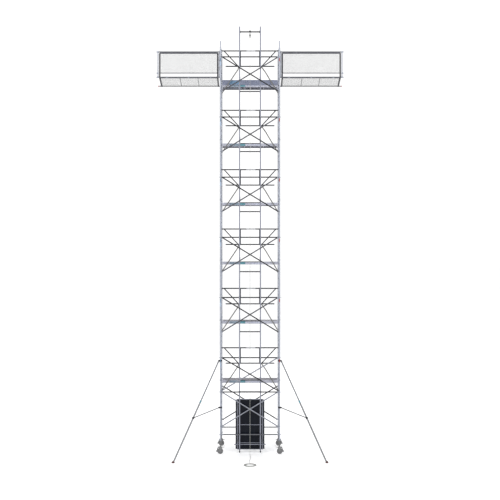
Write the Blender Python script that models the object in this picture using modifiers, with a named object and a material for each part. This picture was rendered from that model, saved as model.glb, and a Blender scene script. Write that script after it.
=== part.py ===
"""Mobile aluminium tower scaffold with a panel lift, two catch wings, outriggers and braked castors.

X runs along the decks, Y from the lift side to the rear, Z up. The origin is on the floor.
"""

import math

import bmesh
import bpy
from mathutils import Matrix, Vector

# Driving dimensions, in metres.
LEVELS = 6
RUNG_PITCH = 2.0 / 7
RUNGS_PER_FRAME = 7
FIRST_RUNG_Z = 0.630
BASE_RAIL_Z = 0.644
FRAME_FOOT_Z = 0.487
HALF_SPAN = 0.98
BAY_DEPTH = 1.35
GUARD_RUNGS = 4
SPIGOT_RISE = 0.243
GAP = 0.0003

STANDARD_R = 0.0254
RUNG_R = 0.021
BRACE_R = 0.020
GUARDRAIL_R = 0.020
SPINDLE_R = 0.019
COLLAR_R = 0.042
COLLAR_BORE_R = 0.0268
BASE_BRACE_ROOM = 0.045  # the lowest diagonals end this much higher, above the base brace's rail

OUTRIGGER_REACH_X = 1.47
OUTRIGGER_REACH_Y = 1.36
OUTRIGGER_TOP_Z = 3.10
STRUT_Z = 1.545
STRUT_AT = 0.57
LEG_TOP_AT = 0.40
LEG_OVERLAP = 0.35
LEG_R = 0.0254
LEG_BORE_R = 0.0216
OUTRIGGER_TUBE_R = 0.0198
LUG_REACH = 0.075
FOOT_R = 0.05

CASTOR_TOP_Z = 0.25
WHEEL_R = 0.10
WHEEL_HALF_WIDTH = 0.023
WHEEL_OUT = 0.008  # the axle stands this far outside the swivel's axis
FORK_HALF_WIDTH = 0.037

# The footprint runs from the outriggers' feet to the rear castors, and the origin is at its middle.
FRONT_Y = (OUTRIGGER_REACH_Y + FOOT_R - BAY_DEPTH - FORK_HALF_WIDTH) / 2
REAR_Y = FRONT_Y + BAY_DEPTH
GUARD_Y = FRONT_Y + 0.43

DECK_Y = (FRONT_Y + 0.52, FRONT_Y + 1.14)
DECK_HALF_LENGTH = 0.952
DECK_TOP = 0.040
DECK_BOTTOM = -0.055
HATCH_X = (-0.82, -0.22)
HATCH_Y = (FRONT_Y + 0.60, FRONT_Y + 1.07)
HATCH_THICK = 0.030
HATCH_GAP = 0.003
TOE_BOARD_TOP_Z = 12.52

TRACK_X = 0.348
TRACK_Y = FRONT_Y + 0.058
TRACK_HALF = 0.020
TRACK_Z = (0.10, 14.22)
CROSSBAR_R = 0.019
HEAD_BEAM_Z = 14.045
HEAD_BEAM_R = 0.021
PULLEY_Z = 13.91
ROPE_R = 0.006
FRONT_FALL_Y = FRONT_Y - 0.045
REAR_FALL_Y = FRONT_Y + 0.088
PULLEY_Y = (FRONT_FALL_Y + REAR_FALL_Y) / 2
PULLEY_R = (REAR_FALL_Y - FRONT_FALL_Y) / 2
CHEEK_X = 0.024
ROPE_SPLIT_Z = PULLEY_Z - 0.02
CARRIAGE_Y = FRONT_Y + 0.115
CARRIAGE_X = 0.42
CARRIAGE_TOP_Z = 1.83
LEDGE_HALF = 0.53
PANEL_HALF_WIDTH = 0.482
PANEL_Z = (0.138, 1.783)
PANEL_Y = (FRONT_Y + 0.136, FRONT_Y + 0.171)
COIL_Y = FRONT_Y - 1.71
COIL_R = 0.168
COIL_HALF_WIDTH = 0.036
COIL_HEIGHT = 0.040

WING_X = (1.087, 3.04)
WING_BAYS_X = (1.087, 1.757, 2.36, 3.04)
WING_TOWER_POST_X = 1.040
WING_TOP_RAIL_Z = 13.452
WING_POST_X = 3.10
WING_END_X = 3.15
WING_FAR_Y = FRONT_Y + 1.20
WING_HINGE_Z = 12.60
WING_FAR_Z = 12.43
WING_MESH_Z = (12.74, 13.41)
MESH_HALF = 0.003
CATCH_CLEAR = 0.062  # the catch panels' beams start this far from their hinge line, clear of the posts

BRACE_FOOT_X = 0.935
GUARD_POST_X = 0.324
GUARD_KNEE_X = 0.826
GUARD_MID_DROP = 0.52
GUARD_KINK = {-1: (0.400, 0.62), 1: (0.520, 0.72)}  # offset from the middle, drop below the top rail
PEDAL_PIVOT = (0.075, 0.226)
PEDAL_KNEE = (0.120, 0.135)
PEDAL_TIP = (0.150, 0.092)
SMOOTH_ANGLE = math.radians(65)

ALUMINIUM = (0.62, 0.65, 0.72)
DARK_ALUMINIUM = (0.34, 0.36, 0.41)
BLACK = (0.02, 0.02, 0.025)
GREY = (0.30, 0.31, 0.33)

SIDES = {"left": -1, "right": 1}
CORNERS = {
    "front_left": (-1, FRONT_Y),
    "front_right": (1, FRONT_Y),
    "rear_left": (-1, REAR_Y),
    "rear_right": (1, REAR_Y),
}


def clear_scene():
    for obj in list(bpy.data.objects):
        bpy.data.objects.remove(obj, do_unlink=True)


def new_collection(name, hidden=False):
    collection = bpy.data.collections.new(name)
    bpy.context.scene.collection.children.link(collection)
    collection.hide_render = hidden
    return collection


def deck_rung_z(level):
    """Height of the rung that carries the deck of this level, counted from 1."""
    return FIRST_RUNG_Z + (RUNGS_PER_FRAME * level - 1) * RUNG_PITCH


def material(name, color, roughness, metallic):
    made = bpy.data.materials.new(name)
    made.use_nodes = True
    shader = made.node_tree.nodes["Principled BSDF"]
    shader.inputs["Base Color"].default_value = (*color, 1.0)
    shader.inputs["Roughness"].default_value = roughness
    shader.inputs["Metallic"].default_value = metallic
    return made


def mesh_object(name, bm, where):
    bmesh.ops.recalc_face_normals(bm, faces=bm.faces)
    mesh = bpy.data.meshes.new(name)
    bm.to_mesh(mesh)
    bm.free()
    mesh.shade_smooth()
    mesh.set_sharp_from_angle(angle=SMOOTH_ANGLE)
    obj = bpy.data.objects.new(name, mesh)
    where.objects.link(obj)
    return obj


def box(name, low, high, where):
    bm = bmesh.new()
    bmesh.ops.create_cube(bm, size=1.0)
    size = [b - a for a, b in zip(low, high)]
    bmesh.ops.scale(bm, vec=size, verts=bm.verts)
    bmesh.ops.translate(bm, vec=[(a + b) / 2 for a, b in zip(low, high)], verts=bm.verts)
    return mesh_object(name, bm, where)


def rod(name, start, end, radius, sides, where, end_radius=None):
    """A capped cylinder or cone between two points."""
    start = Vector(start)
    along = Vector(end) - start
    bm = bmesh.new()
    bmesh.ops.create_cone(
        bm,
        cap_ends=True,
        segments=sides,
        radius1=radius,
        radius2=radius if end_radius is None else end_radius,
        depth=along.length,
    )
    bmesh.ops.translate(bm, vec=(0, 0, along.length / 2), verts=bm.verts)
    turn = Vector((0, 0, 1)).rotation_difference(along).to_matrix()
    bmesh.ops.rotate(bm, cent=(0, 0, 0), matrix=turn, verts=bm.verts)
    bmesh.ops.translate(bm, vec=start, verts=bm.verts)
    return mesh_object(name, bm, where)


def tube_path(name, points, radius, where):
    """A solid tube along a polyline, made from a bevelled curve."""
    curve = bpy.data.curves.new(name, "CURVE")
    curve.dimensions = "3D"
    curve.bevel_depth = radius
    curve.bevel_resolution = 2
    curve.use_fill_caps = True
    spline = curve.splines.new("POLY")
    spline.points.add(len(points) - 1)
    for point, place in zip(spline.points, points):
        point.co = (*place, 1.0)
    obj = bpy.data.objects.new(name, curve)
    where.objects.link(obj)
    return obj


def turned(name, profile, steps, where):
    """A ring turned about Z from a closed outline of (radius, height) points."""
    mesh = bpy.data.meshes.new(name)
    points = [(r, 0.0, z) for r, z in profile]
    count = len(points)
    mesh.from_pydata(points, [(i, (i + 1) % count) for i in range(count)], [])
    obj = bpy.data.objects.new(name, mesh)
    where.objects.link(obj)
    screw = obj.modifiers.new("turn", "SCREW")
    screw.axis = "Z"
    screw.steps = steps
    screw.render_steps = steps
    screw.use_smooth_shade = True
    screw.use_merge_vertices = True
    screw.merge_threshold = 0.0001
    return obj


def fuse(name, pieces):
    """The first piece with all the others joined to it."""
    body = pieces[0]
    body.name = name
    parts.objects.link(body)
    cutters.objects.unlink(body)
    others = bpy.data.collections.new(name + "_pieces")
    cutters.children.link(others)
    for piece in pieces[1:]:
        cutters.objects.unlink(piece)
        others.objects.link(piece)
        piece.hide_render = True
        piece.display_type = "WIRE"
    if pieces[1:]:
        join = body.modifiers.new("join", "BOOLEAN")
        join.operation = "UNION"
        join.operand_type = "COLLECTION"
        join.collection = others
        join.solver = "EXACT"
    return body


def cut(body, cutter):
    cutter.hide_render = True
    cutter.display_type = "WIRE"
    modifier = body.modifiers.new("cut", "BOOLEAN")
    modifier.operation = "DIFFERENCE"
    modifier.object = cutter
    modifier.solver = "EXACT"


def finish(obj, color, roughness=0.4, metallic=0.0):
    obj.data.materials.append(material(obj.name, color, roughness, metallic))


def put_on_axis(obj, place):
    """Moves the object's origin to a point of its joint axis, leaving its shape where it is."""
    place = Vector(place)
    for vertex in obj.data.vertices:
        vertex.co -= place
    obj.location = place


def tube(start, end, radius, sides=6):
    return rod("tube", start, end, radius, sides, cutters)


def block(low, high):
    return box("block", low, high, cutters)


def plate(start, end, width, thick=0.006):
    """A flat bar between two points of a plane across Y, a little longer than their distance."""
    run = Vector(end) - Vector(start)
    bm = bmesh.new()
    bmesh.ops.create_cube(bm, size=1.0)
    bmesh.ops.scale(bm, vec=(run.length + thick, width, thick), verts=bm.verts)
    turn = Matrix.Rotation(-math.atan2(run.z, run.x), 3, "Y")
    bmesh.ops.rotate(bm, cent=(0, 0, 0), matrix=turn, verts=bm.verts)
    bmesh.ops.translate(bm, vec=(Vector(start) + Vector(end)) / 2, verts=bm.verts)
    return mesh_object("plate", bm, cutters)


# End frames


def end_frames(side_name, side):
    """Six stacked ladder frames, the guard frame on top and the two adjustable legs below."""
    x = side * HALF_SPAN
    guard_top = FIRST_RUNG_Z + (LEVELS * RUNGS_PER_FRAME + GUARD_RUNGS - 1) * RUNG_PITCH
    pieces = []
    for y in (FRONT_Y, REAR_Y):
        pieces.append(tube((x, y, FRAME_FOOT_Z), (x, y, guard_top + RUNG_R), STANDARD_R, 8))
        pieces.append(tube((x, y, guard_top), (x, y, guard_top + SPIGOT_RISE), SPINDLE_R, 6))
        pieces.append(tube((x, y, CASTOR_TOP_Z), (x, y, FRAME_FOOT_Z + 0.05), SPINDLE_R, 6))
        pieces.append(tube((x, y, FRAME_FOOT_Z - 0.035), (x, y, FRAME_FOOT_Z + 0.012), 0.033, 8))
    for i in range(LEVELS * RUNGS_PER_FRAME + GUARD_RUNGS):
        z = FIRST_RUNG_Z + i * RUNG_PITCH
        pieces.append(tube((x, FRONT_Y + 0.004, z), (x, REAR_Y - 0.004, z), RUNG_R))
    finish(fuse(side_name + "_end_frames", pieces), ALUMINIUM, 0.35, 0.8)


# Braces and guardrails


def cross_brace(name, y, top_z, bottom_z, with_rail=True):
    """Two crossing diagonals, with a horizontal brace along their top."""
    reach = HALF_SPAN - STANDARD_R - 2 * GAP
    shift = BRACE_R - 0.002
    pieces = [
        tube((-BRACE_FOOT_X, y - shift, top_z), (BRACE_FOOT_X, y - shift, bottom_z), BRACE_R),
        tube((BRACE_FOOT_X, y + shift, top_z), (-BRACE_FOOT_X, y + shift, bottom_z), BRACE_R),
    ]
    if with_rail:
        pieces.append(tube((-reach, y, top_z), (reach, y, top_z), BRACE_R))
    finish(fuse(name, pieces), ALUMINIUM, 0.35, 0.8)


def base_rail(name, y):
    reach = HALF_SPAN - STANDARD_R - 2 * GAP
    rail = tube((-reach, y, BASE_RAIL_Z), (reach, y, BASE_RAIL_Z), BRACE_R)
    finish(fuse(name, [rail]), ALUMINIUM, 0.35, 0.8)


def advance_guardrail(level):
    """Two rails and their struts, hung on the end frames' rungs."""
    knee_z = deck_rung_z(level) - RUNG_PITCH
    top_z = deck_rung_z(level) + 4 * RUNG_PITCH
    mid_z = top_z - GUARD_MID_DROP
    reach = HALF_SPAN - RUNG_R - 2 * GAP
    r = GUARDRAIL_R
    y = GUARD_Y
    pieces = [
        tube((-reach, y, top_z), (reach, y, top_z), r),
        tube((-GUARD_KNEE_X, y, mid_z), (GUARD_KNEE_X, y, mid_z), r),
    ]
    for side in (-1, 1):
        node = (side * 0.385, y, mid_z - 0.01)
        kink_x, kink_drop = GUARD_KINK[side]
        kink = (side * kink_x, y, top_z - kink_drop)
        foot = (side * (reach - 0.014), y, knee_z)
        pieces.append(tube((side * GUARD_POST_X, y, top_z), (side * GUARD_POST_X, y, mid_z), r))
        pieces.append(tube((side * 0.867, y, top_z - 0.004), node, r * 0.9))
        pieces.append(tube(node, kink, r * 0.9))
        pieces.append(tube((side * (kink_x - 0.005), y, top_z - kink_drop + 0.005), foot, r * 0.8))
    finish(fuse(f"advance_guardrail_{level}", pieces), DARK_ALUMINIUM, 0.4, 0.8)


# Decks


def deck(level):
    z = deck_rung_z(level)
    top = z + DECK_TOP
    pieces = [
        block(
            (-DECK_HALF_LENGTH, DECK_Y[0], z + DECK_BOTTOM),
            (DECK_HALF_LENGTH, DECK_Y[1], top),
        )
    ]
    for side in (-1, 1):
        for y in (DECK_Y[0] + 0.03, DECK_Y[1] - 0.03):
            ends = sorted((side * (DECK_HALF_LENGTH - 0.01), side * (HALF_SPAN + 0.022)))
            low = (ends[0], y - 0.02, z + RUNG_R + GAP)
            pieces.append(block(low, (ends[1], y + 0.02, top - 0.002)))
    body = fuse(f"deck_{level}", pieces)
    hole = block(
        (HATCH_X[0], HATCH_Y[0], z + DECK_BOTTOM - 0.02), (HATCH_X[1], HATCH_Y[1], top + 0.02)
    )
    cut(body, hole)
    finish(body, DARK_ALUMINIUM, 0.6, 0.1)


def hatch(level):
    top = deck_rung_z(level) + DECK_TOP
    lid = block(
        (HATCH_X[0] + HATCH_GAP, HATCH_Y[0] + HATCH_GAP, top - HATCH_THICK),
        (HATCH_X[1] - HATCH_GAP, HATCH_Y[1] - HATCH_GAP, top - 0.001),
    )
    body = fuse(f"hatch_{level}", [lid])
    put_on_axis(body, ((HATCH_X[0] + HATCH_X[1]) / 2, HATCH_Y[1] - HATCH_GAP, top - 0.001))
    finish(body, GREY, 0.6, 0.0)


def toe_board():
    bottom = deck_rung_z(LEVELS) + DECK_TOP
    board = block(
        (-0.93, DECK_Y[0] - 0.028, bottom - 0.03),
        (0.93, DECK_Y[0] - 0.003, TOE_BOARD_TOP_Z),
    )
    finish(fuse("toe_board", [board]), ALUMINIUM, 0.5, 0.4)


# Castors


def castor_fork(corner, side, y):
    """Swivel head, two cheeks and the axle pin."""
    x = side * HALF_SPAN
    axle_x = x + side * WHEEL_OUT
    inner = FORK_HALF_WIDTH - 0.006
    pedal_x = x + side * 0.085
    pieces = [tube((x, y, 0.226), (x, y, CASTOR_TOP_Z - GAP), 0.036, 10)]
    ends = sorted((x - side * 0.050, x + side * 0.052))
    pieces.append(block((ends[0], y - inner - 0.002, 0.218), (ends[1], y + inner + 0.002, 0.234)))
    for turn in (-1, 1):
        face = sorted((y + turn * inner, y + turn * FORK_HALF_WIDTH))
        ends = sorted((axle_x - side * 0.020, axle_x + side * 0.026))
        pieces.append(block((ends[0], face[0], 0.080), (ends[1], face[1], 0.225)))
        ends = sorted((x - side * 0.050, pedal_x))
        pieces.append(block((ends[0], face[0], 0.212), (ends[1], face[1], 0.240)))
    pin_half = inner + 0.002
    pieces.append(tube((axle_x, y - pin_half, WHEEL_R), (axle_x, y + pin_half, WHEEL_R), 0.008))
    body = fuse("castor_fork_" + corner, pieces)
    put_on_axis(body, (x, y, CASTOR_TOP_Z))
    finish(body, GREY, 0.4, 0.6)


def castor_wheel(corner, side, y):
    w = WHEEL_HALF_WIDTH
    profile = [
        (0.0095, -w),
        (0.0095, w),
        (0.070, w * 0.75),
        (0.088, w),
        (WHEEL_R, w * 0.55),
        (WHEEL_R, -w * 0.55),
        (0.088, -w),
        (0.070, -w * 0.75),
    ]
    wheel = turned("castor_wheel_" + corner, profile, 18, parts)
    wheel.rotation_euler = (math.pi / 2, 0, 0)
    wheel.location = (side * (HALF_SPAN + WHEEL_OUT), y, WHEEL_R)
    finish(wheel, GREY, 0.7, 0.0)


def brake_pedal(corner, side, y):
    """A bent lever outside the wheel, hinged between the cheeks' ears."""
    pivot, knee, tip = [
        (side * (HALF_SPAN + out), y, z) for out, z in (PEDAL_PIVOT, PEDAL_KNEE, PEDAL_TIP)
    ]
    half = FORK_HALF_WIDTH - 0.009
    pieces = [tube((pivot[0], y - half, pivot[2]), (pivot[0], y + half, pivot[2]), 0.009)]
    pieces.append(plate(pivot, knee, 0.036))
    pieces.append(plate(knee, tip, 0.050))
    body = fuse("brake_pedal_" + corner, pieces)
    put_on_axis(body, pivot)
    finish(body, BLACK, 0.5, 0.0)


# Outriggers


def outrigger_line(side):
    """Start point on the lug, foot point and unit vector of an outrigger's tubes."""
    outward = Vector((side * OUTRIGGER_REACH_X, -OUTRIGGER_REACH_Y, 0)).normalized()
    corner = Vector((side * HALF_SPAN, FRONT_Y, OUTRIGGER_TOP_Z))
    start = corner + outward * LUG_REACH
    foot = Vector((side * (HALF_SPAN + OUTRIGGER_REACH_X), FRONT_Y - OUTRIGGER_REACH_Y, 0.0))
    along = (foot - start).normalized()
    return start, foot, along, outward


def collar(x, y, z, outward, pieces):
    """A solid collar and lug round a standard; its bore is cut afterwards."""
    pieces.append(tube((x, y, z - 0.030), (x, y, z + 0.030), COLLAR_R, 10))
    centre = Vector((x, y, z))
    pieces.append(tube(centre + outward * 0.035, centre + outward * (LUG_REACH + 0.018), 0.024, 6))


def cut_bore(body, start, end, radius):
    cut(body, rod("bore", start, end, radius, 12, cutters))


def outrigger_tube(side_name, side):
    start, foot, along, outward = outrigger_line(side)
    x = side * HALF_SPAN
    length = (foot - start).length
    inner_end = start + along * (length * LEG_TOP_AT + LEG_OVERLAP)
    pieces = [tube(start, inner_end, OUTRIGGER_TUBE_R, 8)]
    collar(x, FRONT_Y, OUTRIGGER_TOP_Z, outward, pieces)
    body = fuse("outrigger_tube_" + side_name, pieces)
    low = (x, FRONT_Y, OUTRIGGER_TOP_Z - 0.06)
    cut_bore(body, low, (x, FRONT_Y, OUTRIGGER_TOP_Z + 0.06), COLLAR_BORE_R)
    put_on_axis(body, (x, FRONT_Y, OUTRIGGER_TOP_Z))
    finish(body, DARK_ALUMINIUM, 0.35, 0.8)


def outrigger_strut(side_name, side):
    """Short tube between a collar on the standard and a clamp ring round the leg."""
    start, foot, along, outward = outrigger_line(side)
    x = side * HALF_SPAN
    clamp = start + (foot - start) * STRUT_AT
    inner = Vector((x, FRONT_Y, STRUT_Z)) + outward * LUG_REACH
    pieces = [tube(inner, clamp, 0.0145, 6)]
    collar(x, FRONT_Y, STRUT_Z, outward, pieces)
    pieces.append(tube(clamp - along * 0.03, clamp + along * 0.03, 0.038, 10))
    body = fuse("outrigger_strut_" + side_name, pieces)
    low = (x, FRONT_Y, STRUT_Z - 0.06)
    cut_bore(body, low, (x, FRONT_Y, STRUT_Z + 0.06), COLLAR_BORE_R)
    cut_bore(body, clamp - along * 0.06, clamp + along * 0.06, LEG_R + 0.0016)
    put_on_axis(body, (x, FRONT_Y, STRUT_Z))
    finish(body, BLACK, 0.5, 0.2)


def outrigger_leg(side_name, side):
    """Outer tube with a rubber foot; its bore takes the upper tube and lets the leg slide up."""
    start, foot, along, _ = outrigger_line(side)
    top = start + (foot - start) * LEG_TOP_AT
    bottom = foot - along * (0.03 / abs(along.z))
    pieces = [
        tube(top, bottom, LEG_R, 10),
        rod("pad", (foot.x, foot.y, 0), (foot.x, foot.y, 0.055), FOOT_R, 12, cutters, 0.030),
    ]
    body = fuse("outrigger_leg_" + side_name, pieces)
    cut_bore(body, top - along * 0.05, top + along * 1.30, LEG_BORE_R)
    put_on_axis(body, top)
    finish(body, ALUMINIUM, 0.35, 0.8)


# Wings


def wing_guard(side_name, side):
    """Upright mesh guard, its support rails and its end post."""
    y = GUARD_Y
    near = side * (HALF_SPAN + RUNG_R + 2 * GAP)
    top_rail_z = WING_TOP_RAIL_Z
    pieces = [
        tube((near, y, top_rail_z), (side * WING_END_X, y, top_rail_z), 0.021),
        tube((near, y, WING_HINGE_Z), (side * WING_END_X, y, WING_HINGE_Z), 0.021),
        tube((side * WING_X[0], y, WING_MESH_Z[1]), (side * WING_POST_X, y, WING_MESH_Z[1]), 0.020),
        tube((side * WING_X[0], y, WING_MESH_Z[0]), (side * WING_END_X, y, WING_MESH_Z[0]), 0.014),
    ]
    for x in (WING_TOWER_POST_X, WING_POST_X):
        pieces.append(tube((side * x, y, WING_HINGE_Z), (side * x, y, top_rail_z), 0.019))
    for x in WING_X:
        pieces.append(tube((side * x, y, WING_HINGE_Z), (side * x, y, WING_MESH_Z[1]), 0.025))
    ends = sorted((side * WING_X[0], side * WING_X[1]))
    mesh = block((ends[0], y - MESH_HALF, WING_MESH_Z[0]), (ends[1], y + MESH_HALF, WING_MESH_Z[1]))
    pieces.append(mesh)
    finish(fuse("wing_guard_" + side_name, pieces), DARK_ALUMINIUM, 0.4, 0.6)


def catch_panel(side_name, side):
    """Sloping mesh floor between the hinge rail and the far rail, with three bays."""
    run = Vector((0, WING_FAR_Y - GUARD_Y, WING_FAR_Z - WING_HINGE_Z))
    along = run.normalized()
    start = Vector((0, GUARD_Y, WING_HINGE_Z)) + along * CATCH_CLEAR
    end = Vector((0, WING_FAR_Y, WING_FAR_Z))
    near_x = 1.03
    lift = Vector((side * WING_X[0], 0, 0))
    far = (Vector((side * near_x, 0, 0)) + end, Vector((side * (WING_POST_X + 0.07), 0, 0)) + end)
    pieces = [tube(far[0], far[1], 0.016)]
    pieces.append(tube(start + lift, start + Vector((side * WING_X[1], 0, 0)), 0.008))
    for edge in WING_BAYS_X:
        x = Vector((side * edge, 0, 0))
        radius = 0.027 if edge in WING_X else 0.009
        pieces.append(tube(x + start, x + end, radius))
    slab = tube(start, end, 0.006, 4)
    for vertex in slab.data.vertices:
        vertex.co.x = side * (WING_X[0] if vertex.co.x < 0 else WING_X[1])
    pieces.append(slab)
    body = fuse("catch_panel_" + side_name, pieces)
    put_on_axis(body, (side * (WING_X[0] + WING_X[1]) / 2, GUARD_Y, WING_HINGE_Z))
    finish(body, DARK_ALUMINIUM, 0.4, 0.6)


# Panel lift


def lift_track():
    """Two rails, a crossbar at each level, the head beam and the pulley's hanger."""
    h = TRACK_HALF
    y = TRACK_Y
    pieces = []
    for side in (-1, 1):
        x = side * TRACK_X
        pieces.append(block((x - h, y - h, TRACK_Z[0]), (x + h, y + h, TRACK_Z[1])))
        pieces.append(rod("foot", (x, y, 0.035), (x, y, TRACK_Z[0] + 0.01), 0.024, 8, cutters, 0.015))
        low = (side * CHEEK_X - 0.003, PULLEY_Y - 0.018, PULLEY_Z - 0.03)
        pieces.append(block(low, (side * CHEEK_X + 0.003, y + 0.012, HEAD_BEAM_Z + 0.02)))
    for level in range(1, LEVELS + 1):
        z = deck_rung_z(level) - RUNG_PITCH
        pieces.append(tube((-TRACK_X, y, z), (TRACK_X, y, z), CROSSBAR_R))
    pieces.append(tube((-TRACK_X, y, HEAD_BEAM_Z), (TRACK_X, y, HEAD_BEAM_Z), HEAD_BEAM_R))
    swivel_low = (-0.030, y - 0.024, HEAD_BEAM_Z - 0.024)
    pieces.append(block(swivel_low, (0.030, y + 0.024, HEAD_BEAM_Z + 0.045)))
    pieces.append(tube((-CHEEK_X, PULLEY_Y, PULLEY_Z), (CHEEK_X, PULLEY_Y, PULLEY_Z), 0.007))
    finish(fuse("lift_track", pieces), ALUMINIUM, 0.35, 0.8)


def head_pulley():
    rim = PULLEY_R + ROPE_R * 0.9
    groove = PULLEY_R - ROPE_R - 0.0018
    w = 0.016
    profile = [(0.009, -w), (0.009, w), (rim, w), (groove, 0.006), (groove, -0.006), (rim, -w)]
    wheel = turned("head_pulley", profile, 20, parts)
    wheel.rotation_euler = (0, math.pi / 2, 0)
    wheel.location = (0, PULLEY_Y, PULLEY_Z)
    finish(wheel, BLACK, 0.5, 0.0)


def lift_carriage():
    """Upright frame that hangs on the rope, slides on the rails and holds the panel on its ledge."""
    y = CARRIAGE_Y
    x = CARRIAGE_X
    shoe_y = (TRACK_Y - TRACK_HALF + 0.001, TRACK_Y + TRACK_HALF + 0.0015)
    ledge_z = PANEL_Z[0] - 0.002
    pieces = [
        tube((-x, y, CARRIAGE_TOP_Z - 0.03), (x, y, CARRIAGE_TOP_Z - 0.03), 0.016),
        tube((-LEDGE_HALF, y, 0.295), (LEDGE_HALF, y, 0.295), 0.016),
        tube((-x, y, 0.950), (x, y, 0.950), 0.012),
        block((-x - 0.015, y - 0.014, ledge_z - 0.010), (x + 0.015, PANEL_Y[1] + 0.008, ledge_z)),
        block((-0.02, REAR_FALL_Y - 0.012, CARRIAGE_TOP_Z - 0.05), (0.02, y + 0.01, CARRIAGE_TOP_Z)),
    ]
    for side in (-1, 1):
        pieces.append(tube((side * x, y, ledge_z - 0.006), (side * x, y, CARRIAGE_TOP_Z - 0.02), 0.016))
        for z in (0.42, 1.60):
            outer = sorted((side * (TRACK_X + TRACK_HALF + 0.002), side * (x + 0.006)))
            pieces.append(block((outer[0], shoe_y[0], z - 0.04), (outer[1], y, z + 0.04)))
            inner = sorted((side * TRACK_X, side * x))
            pieces.append(block((inner[0], shoe_y[1], z - 0.04), (inner[1], y - 0.004, z + 0.04)))
    body = fuse("lift_carriage", pieces)
    put_on_axis(body, (0, y, CARRIAGE_TOP_Z))
    finish(body, ALUMINIUM, 0.35, 0.8)


def carried_panel():
    panel = block(
        (-PANEL_HALF_WIDTH, PANEL_Y[0], PANEL_Z[0]), (PANEL_HALF_WIDTH, PANEL_Y[1], PANEL_Z[1])
    )
    finish(fuse("carried_panel", [panel]), (0.01, 0.015, 0.03), 0.15, 0.0)


# Ropes


def lifting_rope():
    rope = rod(
        "lifting_rope",
        (0, REAR_FALL_Y, CARRIAGE_TOP_Z + GAP),
        (0, REAR_FALL_Y, ROPE_SPLIT_Z - GAP),
        ROPE_R,
        8,
        parts,
    )
    finish(rope, (0.75, 0.76, 0.74), 0.8, 0.0)


def hauling_rope():
    """From the rear of the pulley over its top, down the front and out along the floor to the coil."""
    wrap_steps = 12
    bend_r = 0.22
    bend_steps = 8
    floor_z = ROPE_R + 0.0008
    coil_edge = COIL_Y + COIL_R + COIL_HALF_WIDTH + GAP
    points = [(0, REAR_FALL_Y, ROPE_SPLIT_Z)]
    for i in range(wrap_steps + 1):
        angle = math.pi * i / wrap_steps
        points.append((0, PULLEY_Y + PULLEY_R * math.cos(angle), PULLEY_Z + PULLEY_R * math.sin(angle)))
    for z in (12.0, 10.0, 8.0, 6.0, 4.0, 2.0, 1.0):
        points.append((0, FRONT_FALL_Y, z))
    for i in range(bend_steps + 1):
        angle = math.pi / 2 * i / bend_steps
        y = FRONT_FALL_Y - bend_r * (1 - math.cos(angle))
        points.append((0, y, floor_z + bend_r * (1 - math.sin(angle))))
    start_y = FRONT_FALL_Y - bend_r
    lie_steps = 16
    for i in range(1, lie_steps + 1):
        share = i / lie_steps
        sway = 0.030 * math.sin(2 * math.pi * share) * math.sin(math.pi * share)
        points.append((sway, start_y + (coil_edge - start_y) * share, floor_z))
    finish(tube_path("hauling_rope", points, ROPE_R, parts), (0.75, 0.76, 0.74), 0.8, 0.0)


def rope_coil():
    w = COIL_HALF_WIDTH
    profile = [
        (COIL_R - w, 0.0),
        (COIL_R - w, COIL_HEIGHT * 0.6),
        (COIL_R - w * 0.5, COIL_HEIGHT),
        (COIL_R + w * 0.5, COIL_HEIGHT),
        (COIL_R + w, COIL_HEIGHT * 0.6),
        (COIL_R + w, 0.0),
    ]
    coil = turned("rope_coil", profile, 24, parts)
    coil.location = (0, COIL_Y, 0)
    finish(coil, (0.75, 0.76, 0.74), 0.8, 0.0)


clear_scene()
parts = new_collection("mobile_tower_scaffold")
cutters = new_collection("cutters", hidden=True)

for side_name, side in SIDES.items():
    end_frames(side_name, side)
for level in range(1, LEVELS + 1):
    rung_z = deck_rung_z(level)
    foot_z = rung_z - RUNG_PITCH + (BASE_BRACE_ROOM if level == 1 else 0)
    cross_brace(f"front_brace_{level}", FRONT_Y, rung_z + 3 * RUNG_PITCH, foot_z)
    advance_guardrail(level)
    deck(level)
    hatch(level)
base_top_z = deck_rung_z(1) - RUNG_PITCH
base_bottom_z = FIRST_RUNG_Z + RUNG_PITCH
cross_brace("base_brace_front", FRONT_Y, base_top_z, base_bottom_z)
cross_brace("base_brace_rear", REAR_Y, base_top_z, base_bottom_z, with_rail=False)
base_rail("base_rail_front", FRONT_Y)
base_rail("base_rail_rear", REAR_Y)
toe_board()
for corner, (side, y) in CORNERS.items():
    castor_fork(corner, side, y)
    castor_wheel(corner, side, y)
    brake_pedal(corner, side, y)
for side_name, side in SIDES.items():
    outrigger_tube(side_name, side)
    outrigger_strut(side_name, side)
    outrigger_leg(side_name, side)
    wing_guard(side_name, side)
    catch_panel(side_name, side)
lift_track()
head_pulley()
lift_carriage()
carried_panel()
lifting_rope()
hauling_rope()
rope_coil()
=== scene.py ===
"""The looks of the mobile tower scaffold: every tube, hook, deck, wheel, mesh and rope."""

import math

import bmesh
import bpy
import numpy as np
from mathutils import Matrix, Vector


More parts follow.
